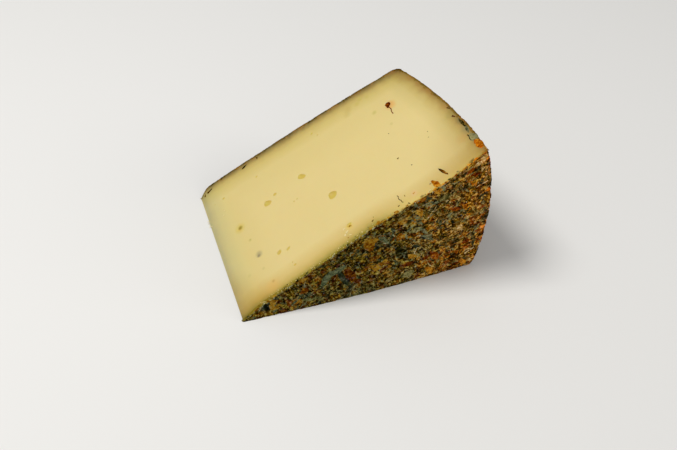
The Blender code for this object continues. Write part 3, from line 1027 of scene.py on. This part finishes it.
def paste_material(sizes, colours):
    """Cream paste with darker eyes, and stains around the herbs in it."""
    shade = Shade(
        "cheese paste",
        Subsurface_Weight=0.30,
        Subsurface_Radius=(1.0, 0.55, 0.20),
        Subsurface_Scale=2.0 * MM,
        Specular_IOR_Level=0.30,
    )
    colour, uneven = cut_colour(shade, sizes, colours)
    x, y, z = shade.coordinates()
    under = under_cut(sizes, x, y, z)
    to_front, to_back, to_rim, from_point, _ = edge_distances(shade, sizes)
    to_rind = to_front.least(to_back).least(to_rim)
    inside = (1 - z.fade(1.5 * MM, 2.0 * MM)) * (1 - to_rind.fade(2.0 * MM, 4.0 * MM))
    inside = inside * (1 - from_point.fade(2.0 * MM, 3.0 * MM)) * under.fade(3 * MM, 3.2 * MM)
    hollow = under.fade(0.20 * MM, 0.02 * MM) * inside
    colour = shade.mix(hollow * 0.8, colour, colours.eye)
    grainy = shade.noise(1.1 * MM, 2.0)
    for from_point_mm, from_front_mm, least, most, strength, tint in STAINS:
        place = on_upper_cut(sizes, from_point_mm, from_front_mm).translation
        away = shade.distance_from(place) + (uneven - 0.5) * (1.2 * MM)
        colour = shade.mix(away.fade(least * MM, most * MM) * strength, colour, tint)
    shade.bump(grainy * 0.5 + uneven, 0.04 * MM)
    return shade.paint(colour, 0.42 + 0.10 * uneven)


# The moist rind's tones, from its darkest, dark crumbs that are partly painted shade
# in the gaps between pieces, to its brightest, which are painted glints, and where it is
# full of leaf dust.
RIND_TONES_WITH_PAINTED_LIGHT = (
    (0.00, (0.009, 0.002, 0.0001)),
    (0.20, (0.037, 0.011, 0.0002)),
    (0.38, (0.106, 0.035, 0.001)),
    (0.50, (0.186, 0.067, 0.002)),
    (0.62, (0.305, 0.122, 0.005)),
    (0.80, (0.500, 0.230, 0.020)),
    # The brightest tone is a painted glint.
    (1.00, (0.900, 0.600, 0.160)),
)
LEAFY_TONES = (
    (0.00, (0.005, 0.004, 0.0002)),
    (0.25, (0.024, 0.019, 0.001)),
    (0.50, (0.074, 0.065, 0.013)),
    (0.75, (0.190, 0.158, 0.042)),
    (1.00, (0.470, 0.390, 0.150)),
)
OLIVE_TONES = (
    (0.00, (0.005, 0.003, 0.0002)),
    (0.25, (0.034, 0.020, 0.0004)),
    (0.50, (0.130, 0.072, 0.001)),
    (0.75, (0.320, 0.180, 0.004)),
    (1.00, (0.780, 0.540, 0.080)),
)


def strand(shade, turn):
    """1 along thin, nearly straight strands that lie one way, and 0 between them."""
    wave = shade.noise(2.2 * MM, 1.0, 0.5, shade.stretched(turn, 4.0))
    return ((wave - 0.5) ** 2).fade(0.0, 0.0018)


def mosaic(shade):
    """The tone of the moist rind, from 0 to 1: clumps, chips, strands and grain."""
    clump = shade.noise(3.5 * MM, 2.0)
    grain = shade.noise(1.3 * MM, 2.0, 0.6)
    chip = shade.chips(1.9 * MM)
    one = shade.noise(1.4 * MM, 2.0, 0.5, shade.stretched((0.0, -1.02, 1.89), 3.5))
    other = shade.noise(1.4 * MM, 2.0, 0.5, shade.stretched((0.0, 0.31, 0.51), 3.5))
    tone = 0.45 + (clump - 0.5) * 1.1 + (chip - 0.5) * 0.35 + (grain - 0.5) * 1.3
    tone = tone + (one.least(other) - 0.44) * 1.5
    for turn, change in (
        ((0.0, -0.39, 0.22), 0.32), ((0.0, -1.00, 2.55), 0.32), ((0.0, -0.67, -0.88), -0.32)
    ):
        tone = tone + strand(shade, turn) * change
    return tone, grain


def crust_ground(shade, tone):
    """The colour of the moist rind: golden skin and brown crumbs, green and olive where
    leaves lie under it and rust where petals do."""
    colour = shade.ramp(tone, RIND_TONES_WITH_PAINTED_LIGHT)
    leafy = shade.noise(4.5 * MM, 3.0, 0.6).fade(0.57, 0.49)
    colour = shade.mix(leafy * 0.75, colour, shade.ramp(tone, LEAFY_TONES))
    olive = shade.noise(6.0 * MM, 3.0, 0.6, shade.stretched((0.5, 1.0, 2.0), 1.2))
    colour = shade.mix(olive.fade(0.54, 0.46) * 0.8, colour, shade.ramp(tone, OLIVE_TONES))
    rusty = shade.noise(4.0 * MM, 3.0, 0.6, shade.stretched((1.0, 2.0, 3.0), 1.3))
    rust = shade.ramp(tone, TONES["orange petal"])
    return shade.mix(rusty.fade(0.62, 0.55) * 0.75, colour, rust)


def tints_and_painted_corner_light(shade, sizes, colour):
    """The crust is darker and greener towards the point and warmer towards the rim.
    Painted light brightens its corners to gold, as where light catches them over its
    golden skin, and the rim between them is darker and less yellow."""
    to_front, to_back, to_rim, _, along = edge_distances(shade, sizes)
    colour = shade.mix(along.fade(58 * MM, 122 * MM), colour, (0.455, 0.53, 0.48), "MULTIPLY")
    near_rim = 1 - along.fade(86 * MM, 116 * MM)
    colour = shade.mix(near_rim, colour, (1.0, 0.85, 0.66), "MULTIPLY")
    # Painted light: along the corners the colour is brightened towards gold.
    corner = to_rim.most(to_front.least(to_back)) - (shade.noise(5 * MM) - 0.5) * (8 * MM)
    skin = corner.fade(0.5 * MM, 6.0 * MM) * shade.noise(3.0 * MM, 2.0).fade(0.60, 0.42)
    colour = shade.mix(skin, colour, (1.60, 1.20, 1.00), "MULTIPLY")
    rim = to_rim.fade(0.5 * MM, 3.0 * MM) * (1 - to_front.fade(1.0 * MM, 8.0 * MM))
    return shade.mix(rim, colour, (0.62, 0.66, 0.74), "MULTIPLY")


def cut_through(shade, sizes):
    """1 on both cut faces and just under them, and 0 elsewhere."""
    x, y, z = shade.coordinates()
    above = under_cut(sizes, x, y, z).fade(0.02 * MM, 0.06 * MM)
    return above.most(z.fade(BODY_LIFT + 0.02 * MM, BODY_LIFT + 0.06 * MM))


def wet(shade, grain):
    """Small wet spots that glint, where the grain stands out most."""
    spots = 1 - grain.fade(0.60, 0.66)
    shade.feed(shade.shader.inputs["Coat Weight"], spots)


def crust_material(sizes, colours):
    """The rind between the larger pieces, and its tan band on the cut faces."""
    shade = Shade("herb crust", Specular_IOR_Level=0.0, Coat_Roughness=0.20)
    tone, grain = mosaic(shade)
    colour = tints_and_painted_corner_light(shade, sizes, crust_ground(shade, tone))
    edge = cut_colour(shade, sizes, colours)[0]
    colour = shade.mix(cut_through(shade, sizes) * 0.85, colour, edge)
    shade.bump(tone, 0.25 * MM)
    wet(shade, grain)
    return shade.paint(colour)


# Colours of the pressed pieces, from tone 0 to 1. Curd is crumbs of the paste. The
# brightest pale crumbs are partly painted glints.
TONES = {
    "curd": (
        (0.00, (0.680, 0.540, 0.210)),
        (1.00, (0.840, 0.740, 0.420)),
    ),
    "crumb": RIND_TONES_WITH_PAINTED_LIGHT,
    "pale crumb": (
        (0.00, (0.100, 0.055, 0.006)),
        (0.50, (0.380, 0.220, 0.045)),
        (0.85, (0.700, 0.500, 0.190)),
        # The brightest tone is a pale crumb, and partly a painted glint.
        (1.00, (1.000, 0.900, 0.600)),
    ),
    "leaf": LEAFY_TONES,
    "grey petal": (
        (0.00, (0.008, 0.013, 0.009)),
        (0.50, (0.085, 0.098, 0.044)),
        (1.00, (0.330, 0.340, 0.180)),
    ),
    "orange petal": (
        (0.00, (0.060, 0.007, 0.0006)),
        (0.35, (0.260, 0.050, 0.002)),
        (0.65, (0.520, 0.170, 0.004)),
        (1.00, (0.850, 0.420, 0.040)),
    ),
    "straw": (
        (0.00, (0.200, 0.120, 0.020)),
        (0.60, (0.480, 0.340, 0.110)),
        (1.00, (1.000, 0.880, 0.560)),
    ),
    "dark seed": (
        (0.00, (0.008, 0.003, 0.0004)),
        (0.50, (0.040, 0.014, 0.001)),
        (1.00, (0.120, 0.036, 0.002)),
    ),
}


def herb_material(name, sizes, colours):
    """A dried herb or petal: each piece has its own tone, blotched by the moist rind,
    which also covers it in part."""
    shade = Shade(name, Specular_IOR_Level=0.0, Coat_Roughness=0.20)
    if name == "curd":
        return shade.paint(shade.ramp(shade.attribute("tone"), TONES[name]), 0.6)
    tone, grain = mosaic(shade)
    own = shade.attribute("tone") * 0.9 + (tone - 0.5) * 0.55 + 0.04
    colour = shade.ramp(own, TONES[name])
    ends = shade.attribute("ends")
    skin = shade.noise(1.6 * MM, 2.0).fade(0.56, 0.46) * shade.attribute("skin")
    colour = shade.mix(skin, colour, crust_ground(shade, tone))
    colour = tints_and_painted_corner_light(shade, sizes, colour)
    edge = cut_colour(shade, sizes, colours)[0]
    colour = shade.mix(cut_through(shade, sizes) * 0.8 * ends, colour, edge)
    wet(shade, grain)
    shade.bump(tone, 0.12 * MM)
    return shade.paint(colour, 0.6)


def crumb_model():
    """A chipped grain: a cube with one face narrowed and one drawn aside."""
    piece = new_piece("crumb_model", bpy.ops.mesh.primitive_cube_add, size=1.0)
    edit(piece)
    pick(piece, "FACE", lambda co: co.z > 0.4)
    bpy.ops.transform.resize(value=(0.65, 0.55, 1.0), center_override=(0.1, 0.05, 0.5))
    pick(piece, "FACE", lambda co: co.x > 0.3)
    bpy.ops.transform.resize(value=(1.0, 0.5, 0.7), center_override=(0.5, 0.1, -0.1))
    return piece


def leaf_model():
    """A sliver of leaf, pointed at both ends and folded a little along its rib."""
    piece = new_piece(
        "leaf_model", bpy.ops.mesh.primitive_circle_add, vertices=8, radius=0.5, fill_type="NGON"
    )
    edit(piece)
    bpy.ops.mesh.extrude_region_move(TRANSFORM_OT_translate={"value": (0, 0, 1)})
    bpy.ops.mesh.select_all(action="SELECT")
    bpy.ops.transform.translate(value=(0, 0, -0.5))
    pick(piece, "VERT", lambda co: abs(co.x) > 0.45)
    bpy.ops.transform.resize(value=(1.15, 1.0, 0.35), center_override=(0, 0, 0))
    pick(piece, "VERT", lambda co: 0.3 < co.x < 0.4)
    bpy.ops.transform.resize(value=(1.0, 0.75, 0.8), center_override=(0.35, 0, 0))
    return piece


def petal_model():
    """A dried petal: narrow where it was attached, broad and notched at its end."""
    piece = new_piece(
        "petal_model",
        bpy.ops.mesh.primitive_grid_add,
        x_subdivisions=3,
        y_subdivisions=2,
        size=1.0,
    )
    edit(piece)
    for place, wide in ((-0.5, 0.35), (-0.167, 0.8), (0.167, 1.1), (0.5, 0.75)):
        pick(piece, "VERT", lambda co: abs(co.x - place) < 0.05)
        bpy.ops.transform.resize(value=(1.0, wide, 1.0), center_override=(place, 0, 0))
    pick(piece, "VERT", lambda co: co.x > 0.45 and abs(co.y) < 0.05)
    bpy.ops.transform.translate(value=(-0.10, 0, 0.3))
    done()
    apply_modifier(piece, "SOLIDIFY", thickness=1.0, offset=0.0)
    edit(piece)
    return piece


def stalk_model():
    """A bit of dried stalk with two bends."""
    piece = new_piece(
        "stalk_model",
        bpy.ops.mesh.primitive_cylinder_add,
        vertices=4,
        radius=0.5,
        depth=1.0,
        rotation=(0, math.pi / 2, 0),
    )
    bpy.ops.object.transform_apply(location=True, rotation=True, scale=True)
    edit(piece)
    pick(piece, "EDGE", lambda co: abs(co.x) < 0.1)
    bpy.ops.mesh.subdivide(number_cuts=2)
    for place, aside in ((-0.167, 0.6), (0.167, -0.3)):
        pick(piece, "VERT", lambda co: abs(co.x - place) < 0.05)
        bpy.ops.transform.translate(value=(0, aside, 0))
    return piece


MODELS = {
    "crumb": crumb_model,
    "leaf": leaf_model,
    "petal": petal_model,
    "stalk": stalk_model,
}


def model_arrays(kind):
    """The vertices and triangles of a small piece that is modelled once."""
    piece = MODELS[kind]()
    bpy.ops.mesh.select_all(action="SELECT")
    bpy.ops.mesh.normals_make_consistent(inside=False)
    bpy.ops.mesh.quads_convert_to_tris()
    done()
    put_in_order(piece)
    corners = places_of(piece)
    triangles = np.array([face.vertices[:] for face in piece.data.polygons])
    discard(piece)
    return corners, triangles


# How far outside the wedge the middle of a herb may lie.
SPARE = 1.5 * MM
SPARE_LENGTH_SHARE = 1.1


def surface_arrays(rind, sizes):
    """Middles, normals and areas of the uncut rind's faces that are near the wedge."""
    count = len(rind.data.polygons)
    arrays = {}
    for name, width in (("center", 3), ("normal", 3), ("area", 1)):
        arrays[name] = np.empty(count * width)
        rind.data.polygons.foreach_get(name, arrays[name])
    middles = arrays["center"].reshape(-1, 3)
    normals = arrays["normal"].reshape(-1, 3)
    from_point = middles - np.array(POINT)
    over_cut = from_point @ np.array(upper_normal(sizes))
    near = (over_cut < SPARE) & (middles[:, 2] > -SPARE) & (from_point[:, 0] > -SPARE)
    near &= np.hypot(*from_point[:, (0, 2)].T) < sizes.upper_cut * SPARE_LENGTH_SHARE
    return middles[near], normals[near], arrays["area"][near]


def unit(vectors):
    """The same ways with a length of 1."""
    return vectors / np.linalg.norm(vectors, axis=1, keepdims=True)


PATCH_SIZE = 22 * MM
PATCH_WAVES = 6


def patchy(places, random):
    """A smooth random value from 0 to 1 at each place, in patches: the sum of waves that
    run all ways and are as long as a patch is wide, or somewhat shorter or longer."""
    value = np.zeros(len(places))
    for _ in range(PATCH_WAVES):
        way = random.normal(size=3)
        way *= 2 * np.pi / (PATCH_SIZE * np.linalg.norm(way)) * random.uniform(0.6, 1.5)
        value += np.cos(places @ way + random.uniform(0, 2 * np.pi))
    return np.clip(0.5 + value / PATCH_WAVES, 0, 1)


# Lengths are a random number to this power between the least and the most, so that short
# pieces are common. A corner is moved by a random share of the piece's size, and a piece
# by millimetres from the middle of the face of the rind that it lies on.
LENGTH_POWER = 1.8
CORNER_SHARES = (0.8, 1.2)
PLACE_JITTER = 0.6


def scatter(herb, rind_arrays, settings, random):
    """Copies of a herb's model over the rind, each with its own size, turn, tilt, bend
    and tone, joined as one mesh."""
    middles, normals, areas = rind_arrays
    corners, triangles = model_arrays(herb.model)
    count = round(herb.count * settings.cover)
    chance = areas * (1 - herb.patch + 2 * herb.patch * patchy(middles, random) ** 2)
    chosen = random.choice(len(middles), count, p=chance / chance.sum())
    normal = unit(normals[chosen])
    aside = unit(np.cross(normal, random.normal(size=(count, 3))))
    across = np.cross(normal, aside)
    lean = np.tan(np.radians(herb.tilt)) * random.uniform(-1, 1, (count, 2))
    normal = unit(normal + aside * lean[:, :1] + across * lean[:, 1:])
    aside = unit(aside - normal * np.sum(aside * normal, axis=1, keepdims=True))
    across = np.cross(normal, aside)

    shortest, longest = herb.length
    length = shortest + (longest - shortest) * random.random(count) ** LENGTH_POWER
    width = length * random.uniform(*herb.width, count)
    thick = random.uniform(*herb.thickness, count)
    if herb.model == "crumb":
        thick = thick * length
    size = np.column_stack((length, width, thick)) * MM
    uneven = random.uniform(*CORNER_SHARES, (count, len(corners), 3))
    shapes = corners[None] * size[:, None] * uneven
    bend = herb.bend * random.uniform(-1, 1, (count, 2)) / MM
    shapes[:, :, 1] += bend[:, :1] * shapes[:, :, 0] ** 2
    shapes[:, :, 2] -= abs(bend[:, 1:]) * shapes[:, :, 0] ** 2

    depth = (thick / 2 - random.uniform(*herb.rise, count))[:, None] * MM
    jitter = random.uniform(-PLACE_JITTER, PLACE_JITTER, (count, 2)) * MM
    start = middles[chosen] + aside * jitter[:, :1] + across * jitter[:, 1:] - normal * depth
    axes = np.stack((aside, across, normal), axis=1)
    vertices = start[:, None] + np.einsum("nci,nij->ncj", shapes, axes)
    vertices = pressed_in(vertices.reshape(-1, 3), settings.id_data.cheese_sizes)
    faces = triangles[None] + (np.arange(count) * len(corners))[:, None, None]
    tones = np.repeat(random.random(count), len(corners))
    return toned_piece(herb.name, vertices, faces.reshape(-1, 3), tones, herb.skin)


def toned_piece(name, vertices, faces, tones, skin, ends=1.0):
    """A mesh whose pieces have their own tones. Skin is how much of them the moist rind
    covers, and ends is 1 if both cuts went through them, or 0 if they lie on a cut."""
    mesh = bpy.data.meshes.new(name)
    mesh.from_pydata(vertices, [], faces.tolist())
    for attribute, value in (("tone", tones), ("skin", skin), ("ends", ends)):
        values = np.broadcast_to(value, len(vertices))
        mesh.attributes.new(attribute, "FLOAT", "POINT").data.foreach_set("value", values)
    piece = bpy.data.objects.new(name, mesh)
    bpy.context.scene.collection.objects.link(piece)
    return piece


# The thickness of the pieces of note in millimetres, and how much of those on the rind
# the moist rind covers.
BIT_THICKNESS = {"crumb": 0.7, "leaf": 0.4, "petal": 0.3, "stalk": 0.35}
BIT_SKIN = 0.12


# How far outside the wheel a search for its surface begins, in metres.
RAY_FROM = 0.2


def laid_on(rind, start, way, along):
    """A frame where a line from start meets the rind: Z out of it, X near along."""
    hit, place, normal, _ = rind.ray_cast(start, way)
    if not hit:
        raise RuntimeError(f"no rind under {tuple(start)}")
    aside = (along - normal * along.dot(normal)).normalized()
    axes = Matrix((aside, normal.cross(aside), normal)).transposed().to_4x4()
    return Matrix.Translation(place) @ axes


def lay_bits(where, bits, frame_of, skin=0.0, ends=0.0):
    """Lays pieces of note in their frames, joined by material. Skin and ends are those
    of toned_piece."""
    models = {}
    parts = {}
    for bit in bits:
        if bit.model not in models:
            models[bit.model] = model_arrays(bit.model)
        corners, triangles = models[bit.model]
        thick = BIT_THICKNESS[bit.model]
        size = Matrix.Diagonal((bit.length * MM, bit.width * MM, thick * MM, 1.0))
        lift = Matrix.Translation((0.0, 0.0, (bit.rise - thick / 2) * MM))
        turn = Matrix.Rotation(math.radians(bit.turn), 4, "Z")
        shape = np.array(frame_of(bit) @ lift @ turn @ size)
        places = corners @ shape[:3, :3].T + shape[:3, 3]
        parts.setdefault(bit.material, []).append((places, triangles, bit.tone))
    pieces = []
    for material, laid in parts.items():
        vertices = np.concatenate([places for places, _, _ in laid])
        starts = np.cumsum([0] + [len(places) for places, _, _ in laid[:-1]])
        faces = np.concatenate([part[1] + first for part, first in zip(laid, starts)])
        tones = np.concatenate([np.full(len(places), tone) for places, _, tone in laid])
        name = f"{where}_{material.replace(' ', '_')}"
        pieces.append((toned_piece(name, vertices, faces, tones, skin, ends), material))
    return pieces


def notable_pieces(sizes, rind, random):
    """Lays the pieces of note on the front, the rim, the upper cut and the floor at the
    point. Those on the rind are cut with it."""
    right, back, up = Matrix.Identity(3)

    def on_front(bit):
        start = POINT + Vector((bit.u * MM, -RAY_FROM, bit.v * MM))
        return laid_on(rind, start, back, right)

    def on_rim(bit):
        start = POINT + Vector((RAY_FROM, bit.v * MM, bit.u * MM))
        return laid_on(rind, start, -right, up)

    def on_cut(bit):
        return on_upper_cut(sizes, bit.u, bit.v, BODY_DROP)

    def on_floor(bit):
        return Matrix.Translation(POINT + Vector((bit.u, bit.v, 0.0)) * MM)

    on_rind = lay_bits("front", FRONT_BITS, on_front, BIT_SKIN, 1.0)
    on_rind += lay_bits("rim", RIM_BITS, on_rim, BIT_SKIN, 1.0)
    on_top = lay_bits("cut", CUT_BITS + edge_crumbs_and_painted_glints(sizes, random), on_cut)
    for piece, _ in on_rind + on_top:
        put_places(piece, pressed_in(places_of(piece), sizes))
    for piece, _ in on_rind:
        cut(piece, sizes, HERB_DROP, HERB_LIFT)
    return on_rind + on_top + lay_bits("point", SHREDS, on_floor)


def front_edge(sizes, from_point):
    """Where the upper cut's front edge lies, all in millimetres."""
    share = from_point * MM / sizes.upper_cut
    swell = sizes.swell / MM * math.sin(math.pi * share)
    return FRONT_TAPER * from_point + drawn_in(from_point * MM, DRAWN_IN) / MM - swell


# Crumbs of paste along the upper cut's front edge, partly painted glints on that edge:
# their places, which waver, how many, what share are curd, and how far they stand out.
# Then come the least and most of how far they lie from the edge, their length, width
# and turn.
CRUMBS_ALONG = (14.0, 84.0)
CRUMBS_WAVER = 1.5
CRUMB_COUNT = 90
CURD_SHARE = 0.6
CRUMB_RISE = 0.18
CRUMB_INWARD = (0.4, 2.4)
CRUMB_LENGTH = (0.5, 1.1)
CRUMB_WIDTH = (0.3, 0.6)
CRUMB_TURN = (0, 180)


def edge_crumbs_and_painted_glints(sizes, random):
    """Crumbs of paste that the knife left along the front edge of the upper cut, which
    are partly painted glints along that edge.
    """
    crumbs = []
    for from_point in np.linspace(*CRUMBS_ALONG, CRUMB_COUNT):
        along = from_point + random.uniform(-CRUMBS_WAVER, CRUMBS_WAVER)
        length, width = random.uniform(*CRUMB_LENGTH), random.uniform(*CRUMB_WIDTH)
        material = "curd" if random.random() < CURD_SHARE else "pale crumb"
        tone = random.random()
        from_front = front_edge(sizes, along) + random.uniform(*CRUMB_INWARD)
        turn = random.uniform(*CRUMB_TURN)
        crumbs.append(
            Bit("crumb", material, tone, CRUMB_RISE, along, from_front, length, width, turn)
        )
    return tuple(crumbs)


# Herbs that lap over that edge: their places, which waver, how many, the share of petals
# near the point and from a place on, and the models and materials of the rest. How far
# they lie inwards is mostly small, at times large, and less by how far they lap over.
HERBS_ALONG = (4.0, 142.0)
HERBS_WAVER = 1.0
EDGE_HERB_COUNT = 260
FEW_PETALS = 0.15
MANY_PETALS = 0.55
MANY_PETALS_FROM = 74.0
EDGE_KINDS = (
    ("crumb", "crumb"),
    ("crumb", "pale crumb"),
    ("leaf", "leaf"),
    ("crumb", "straw"),
)
EDGE_HERB_INWARD = 0.45
EDGE_HERB_LAP = 0.7
EDGE_HERB_LENGTH = (0.9, 2.8)
EDGE_HERB_TONE = (0.4, 1.0)
EDGE_HERB_RISE = (0.12, 0.25)
EDGE_HERB_WIDTH_SHARE = (0.3, 0.6)
EDGE_HERB_TURN = (-60, 60)


def edge_herbs(sizes, random):
    """Herbs of the front face that lap over the edge of the upper cut, with more petals
    towards the rim."""
    herbs = []
    for from_point in np.linspace(*HERBS_ALONG, EDGE_HERB_COUNT):
        along = from_point + random.uniform(-HERBS_WAVER, HERBS_WAVER)
        if random.random() < (MANY_PETALS if along > MANY_PETALS_FROM else FEW_PETALS):
            kinds = ("petal", "orange petal")
        else:
            kinds = EDGE_KINDS[random.integers(len(EDGE_KINDS))]
        length = random.uniform(*EDGE_HERB_LENGTH)
        inward = random.exponential(EDGE_HERB_INWARD) - EDGE_HERB_LAP
        tone, rise = random.uniform(*EDGE_HERB_TONE), random.uniform(*EDGE_HERB_RISE)
        width = length * random.uniform(*EDGE_HERB_WIDTH_SHARE)
        turn = random.uniform(*EDGE_HERB_TURN)
        from_front = front_edge(sizes, along) + inward
        herbs.append(Bit(*kinds, tone, rise, along, from_front, length, width, turn))
    pieces = lay_bits("edge", herbs, lambda bit: on_upper_cut(sizes, bit.u, bit.v, BODY_DROP))
    for piece, _ in pieces:
        put_places(piece, pressed_in(places_of(piece), sizes))
    return pieces


def keep_in_box(piece):
    """Flattens what would stand out of the frame's box by a hair."""
    put_places(piece, np.clip(places_of(piece), CAD_BOUNDS[0], CAD_BOUNDS[1]))


class CHEESE_OT_body(bpy.types.Operator):
    """Spins the wheel, makes both cuts and parts the paste from the crust"""

    bl_idname = "cheese.body"
    bl_label = "Paste and Crust"

    def execute(self, context):
        sizes = context.scene.cheese_sizes
        colours = context.scene.cheese_colours
        body, rind = wedge_body(sizes)
        inner = inner_wheel(sizes)
        crust = copy_of(body, "herb_crust")
        boolean(crust, inner, "DIFFERENCE")
        boolean(body, inner, "INTERSECT")
        body.name = body.data.name = "cheese_paste"
        discard(inner)
        eyes = eye_hollows(sizes)
        boolean(body, eyes, "DIFFERENCE")
        discard(eyes)
        for piece in (body, crust):
            shade_smooth_but_cuts(piece, sizes)
            keep_in_box(piece)
        finish_piece(body, paste_material(sizes, colours))
        finish_piece(crust, crust_material(sizes, colours))
        rind.name = "rind_guide"
        rind.hide_render = True
        return {"FINISHED"}


def eye_hollows(sizes):
    """Balls flattened into the upper cut face, joined as one cutter."""
    balls = []
    for number, (from_point, from_front, length, width, turn) in enumerate(EYES):
        ball = new_piece(
            f"eye_{number}", bpy.ops.mesh.primitive_ico_sphere_add, subdivisions=3, radius=0.5
        )
        ball.data.transform(Matrix.Rotation(number, 4, "Z") @ Matrix.Rotation(number, 4, "X"))
        texture = bpy.data.textures.new(f"eye_{number}", "CLOUDS")
        texture.noise_scale = EYE_NOISE_SIZE
        apply_modifier(
            ball,
            "DISPLACE",
            texture=texture,
            texture_coords="LOCAL",
            strength=EYE_NOISE_STRENGTH,
        )
        deep = EYE_DEPTH_SHARE * width * MM
        spread = EYE_SPREAD * MM
        size = Matrix.Diagonal((length * spread, width * spread, 4 * deep, 1.0))
        place = on_upper_cut(sizes, from_point, from_front, BODY_DROP - deep)
        ball.data.transform(place @ Matrix.Rotation(math.radians(turn), 4, "Z") @ size)
        balls.append(ball)
    deselect_all()
    for ball in balls:
        ball.select_set(True)
    bpy.context.view_layer.objects.active = balls[0]
    bpy.ops.object.join()
    return bpy.context.object


class CHEESE_OT_herbs(bpy.types.Operator):
    """Presses crumbs, leaves, petals and stalks into the crust"""

    bl_idname = "cheese.herbs"
    bl_label = "Herbs and Petals"

    def execute(self, context):
        sizes = context.scene.cheese_sizes
        settings = context.scene.cheese_herbs
        rind = bpy.data.objects["rind_guide"]
        rind_arrays = surface_arrays(rind, sizes)
        random = np.random.default_rng(settings.seed)
        colours = context.scene.cheese_colours
        materials = {name: herb_material(name, sizes, colours) for name in TONES}
        pieces = notable_pieces(sizes, rind, random)
        for herb in HERBS:
            piece = scatter(herb, rind_arrays, settings, random)
            cut(piece, sizes, HERB_DROP, HERB_LIFT)
            pieces.append((piece, herb.material))
        pieces += edge_herbs(sizes, random)
        for piece, material in pieces:
            slot = "paste" if material == "curd" else "herb_crust"
            keep_in_box(piece)
            finish_piece(piece, materials[material])
        discard(rind)
        return {"FINISHED"}


# The camera, worked out from the wedge's outline: where it looks, and from where.
CAMERA_TARGET = Vector((2.83, 3.72, 0.0)) * MM
CAMERA_TURN = math.radians(-20.07)
CAMERA_HEIGHT = math.radians(45.04)
CAMERA_ROLL = math.radians(2.9)
CAMERA_DISTANCE = 512.0 * MM
CAMERA_LENS = 50.49
SENSOR_WIDTH = 36.0
CLIP_START = 10 * MM


def place_camera():
    """Sets the camera by its place around the target, and its roll."""
    camera = bpy.data.objects.new("camera", bpy.data.cameras.new("camera"))
    bpy.context.scene.collection.objects.link(camera)
    back = Vector(
        (
            math.sin(CAMERA_TURN) * math.cos(CAMERA_HEIGHT),
            -math.cos(CAMERA_TURN) * math.cos(CAMERA_HEIGHT),
            math.sin(CAMERA_HEIGHT),
        )
    )
    level = Vector((math.cos(CAMERA_TURN), math.sin(CAMERA_TURN), 0.0))
    upright = back.cross(level)
    right = level * math.cos(CAMERA_ROLL) + upright * math.sin(CAMERA_ROLL)
    axes = Matrix((right, back.cross(right), back)).transposed().to_4x4()
    camera.matrix_world = Matrix.Translation(CAMERA_TARGET + back * CAMERA_DISTANCE) @ axes
    camera.data.lens = CAMERA_LENS
    camera.data.sensor_width = SENSOR_WIDTH
    camera.data.clip_start = CLIP_START
    bpy.context.scene.camera = camera


# The stage: a floor in metres, the strength of the white surroundings, and each light's
# name, place, size, power and colour.
FLOOR_SIZE = 8.0
FLOOR_COLOUR = (0.78, 0.78, 0.77)
SKY_STRENGTH = 0.34
LIGHTS = (
    ("key", (-0.50, 0.05, 1.05), 0.4, 9.2, (1.0, 0.98, 0.95)),
    ("fill", (1.00, -0.45, 0.6), 0.6, 3.4, (1.0, 0.97, 0.92)),
)


def soft_light(name, place, size, power, colour):
    """A round light that shines at the middle of the floor."""
    light = bpy.data.objects.new(name, bpy.data.lights.new(name, "AREA"))
    light.data.shape = "DISK"
    light.data.size = size
    light.data.energy = power
    light.data.color = colour
    place = Vector(place)
    light.matrix_world = (
        Matrix.Translation(place) @ place.to_track_quat("Z", "Y").to_matrix().to_4x4()
    )
    bpy.context.scene.collection.objects.link(light)


class CHEESE_OT_stage(bpy.types.Operator):
    """Lays a pale floor and sets soft studio light and the camera"""

    bl_idname = "cheese.stage"
    bl_label = "Stage"

    def execute(self, context):
        floor = new_piece("floor", bpy.ops.mesh.primitive_plane_add, size=FLOOR_SIZE)
        shade = Shade("floor", Roughness=0.8, Specular_IOR_Level=0.2)
        floor.data.materials.append(shade.paint(FLOOR_COLOUR))
        scene = context.scene
        scene.world = bpy.data.worlds.new("studio")
        scene.world.use_nodes = True
        background = scene.world.node_tree.nodes["Background"]
        background.inputs["Color"].default_value = (1.0, 1.0, 1.0, 1.0)
        background.inputs["Strength"].default_value = SKY_STRENGTH
        for light in LIGHTS:
            soft_light(*light)
        place_camera()
        scene.view_settings.view_transform = "Standard"
        scene.view_settings.look = "None"
        return {"FINISHED"}


class CHEESE_PT_panel(bpy.types.Panel):
    """Builds the wedge step by step"""

    bl_label = "Cheese Wedge"
    bl_idname = "CHEESE_PT_panel"
    bl_space_type = "VIEW_3D"
    bl_region_type = "UI"
    bl_category = "Cheese"

    def draw(self, context):
        for group in ("cheese_sizes", "cheese_colours", "cheese_herbs"):
            settings = getattr(context.scene, group)
            box = self.layout.box()
            for name in settings.__annotations__:
                box.prop(settings, name)
        for operator in OPERATORS:
            self.layout.operator(operator.bl_idname)


GROUPS = {
    "cheese_sizes": WedgeSizes,
    "cheese_colours": CheeseColours,
    "cheese_herbs": HerbSettings,
}
OPERATORS = (CHEESE_OT_stage, CHEESE_OT_body, CHEESE_OT_herbs)


def register():
    for made in (*GROUPS.values(), *OPERATORS, CHEESE_PT_panel):
        bpy.utils.register_class(made)
    for name, group in GROUPS.items():
        setattr(bpy.types.Scene, name, PointerProperty(type=group))


def unregister():
    for name in GROUPS:
        delattr(bpy.types.Scene, name)
    for made in reversed((*GROUPS.values(), *OPERATORS, CHEESE_PT_panel)):
        bpy.utils.unregister_class(made)


def main():
    register()
    bpy.ops.cheese.stage()
    bpy.ops.cheese.body()
    bpy.ops.cheese.herbs()


if __name__ == "__main__":
    main()
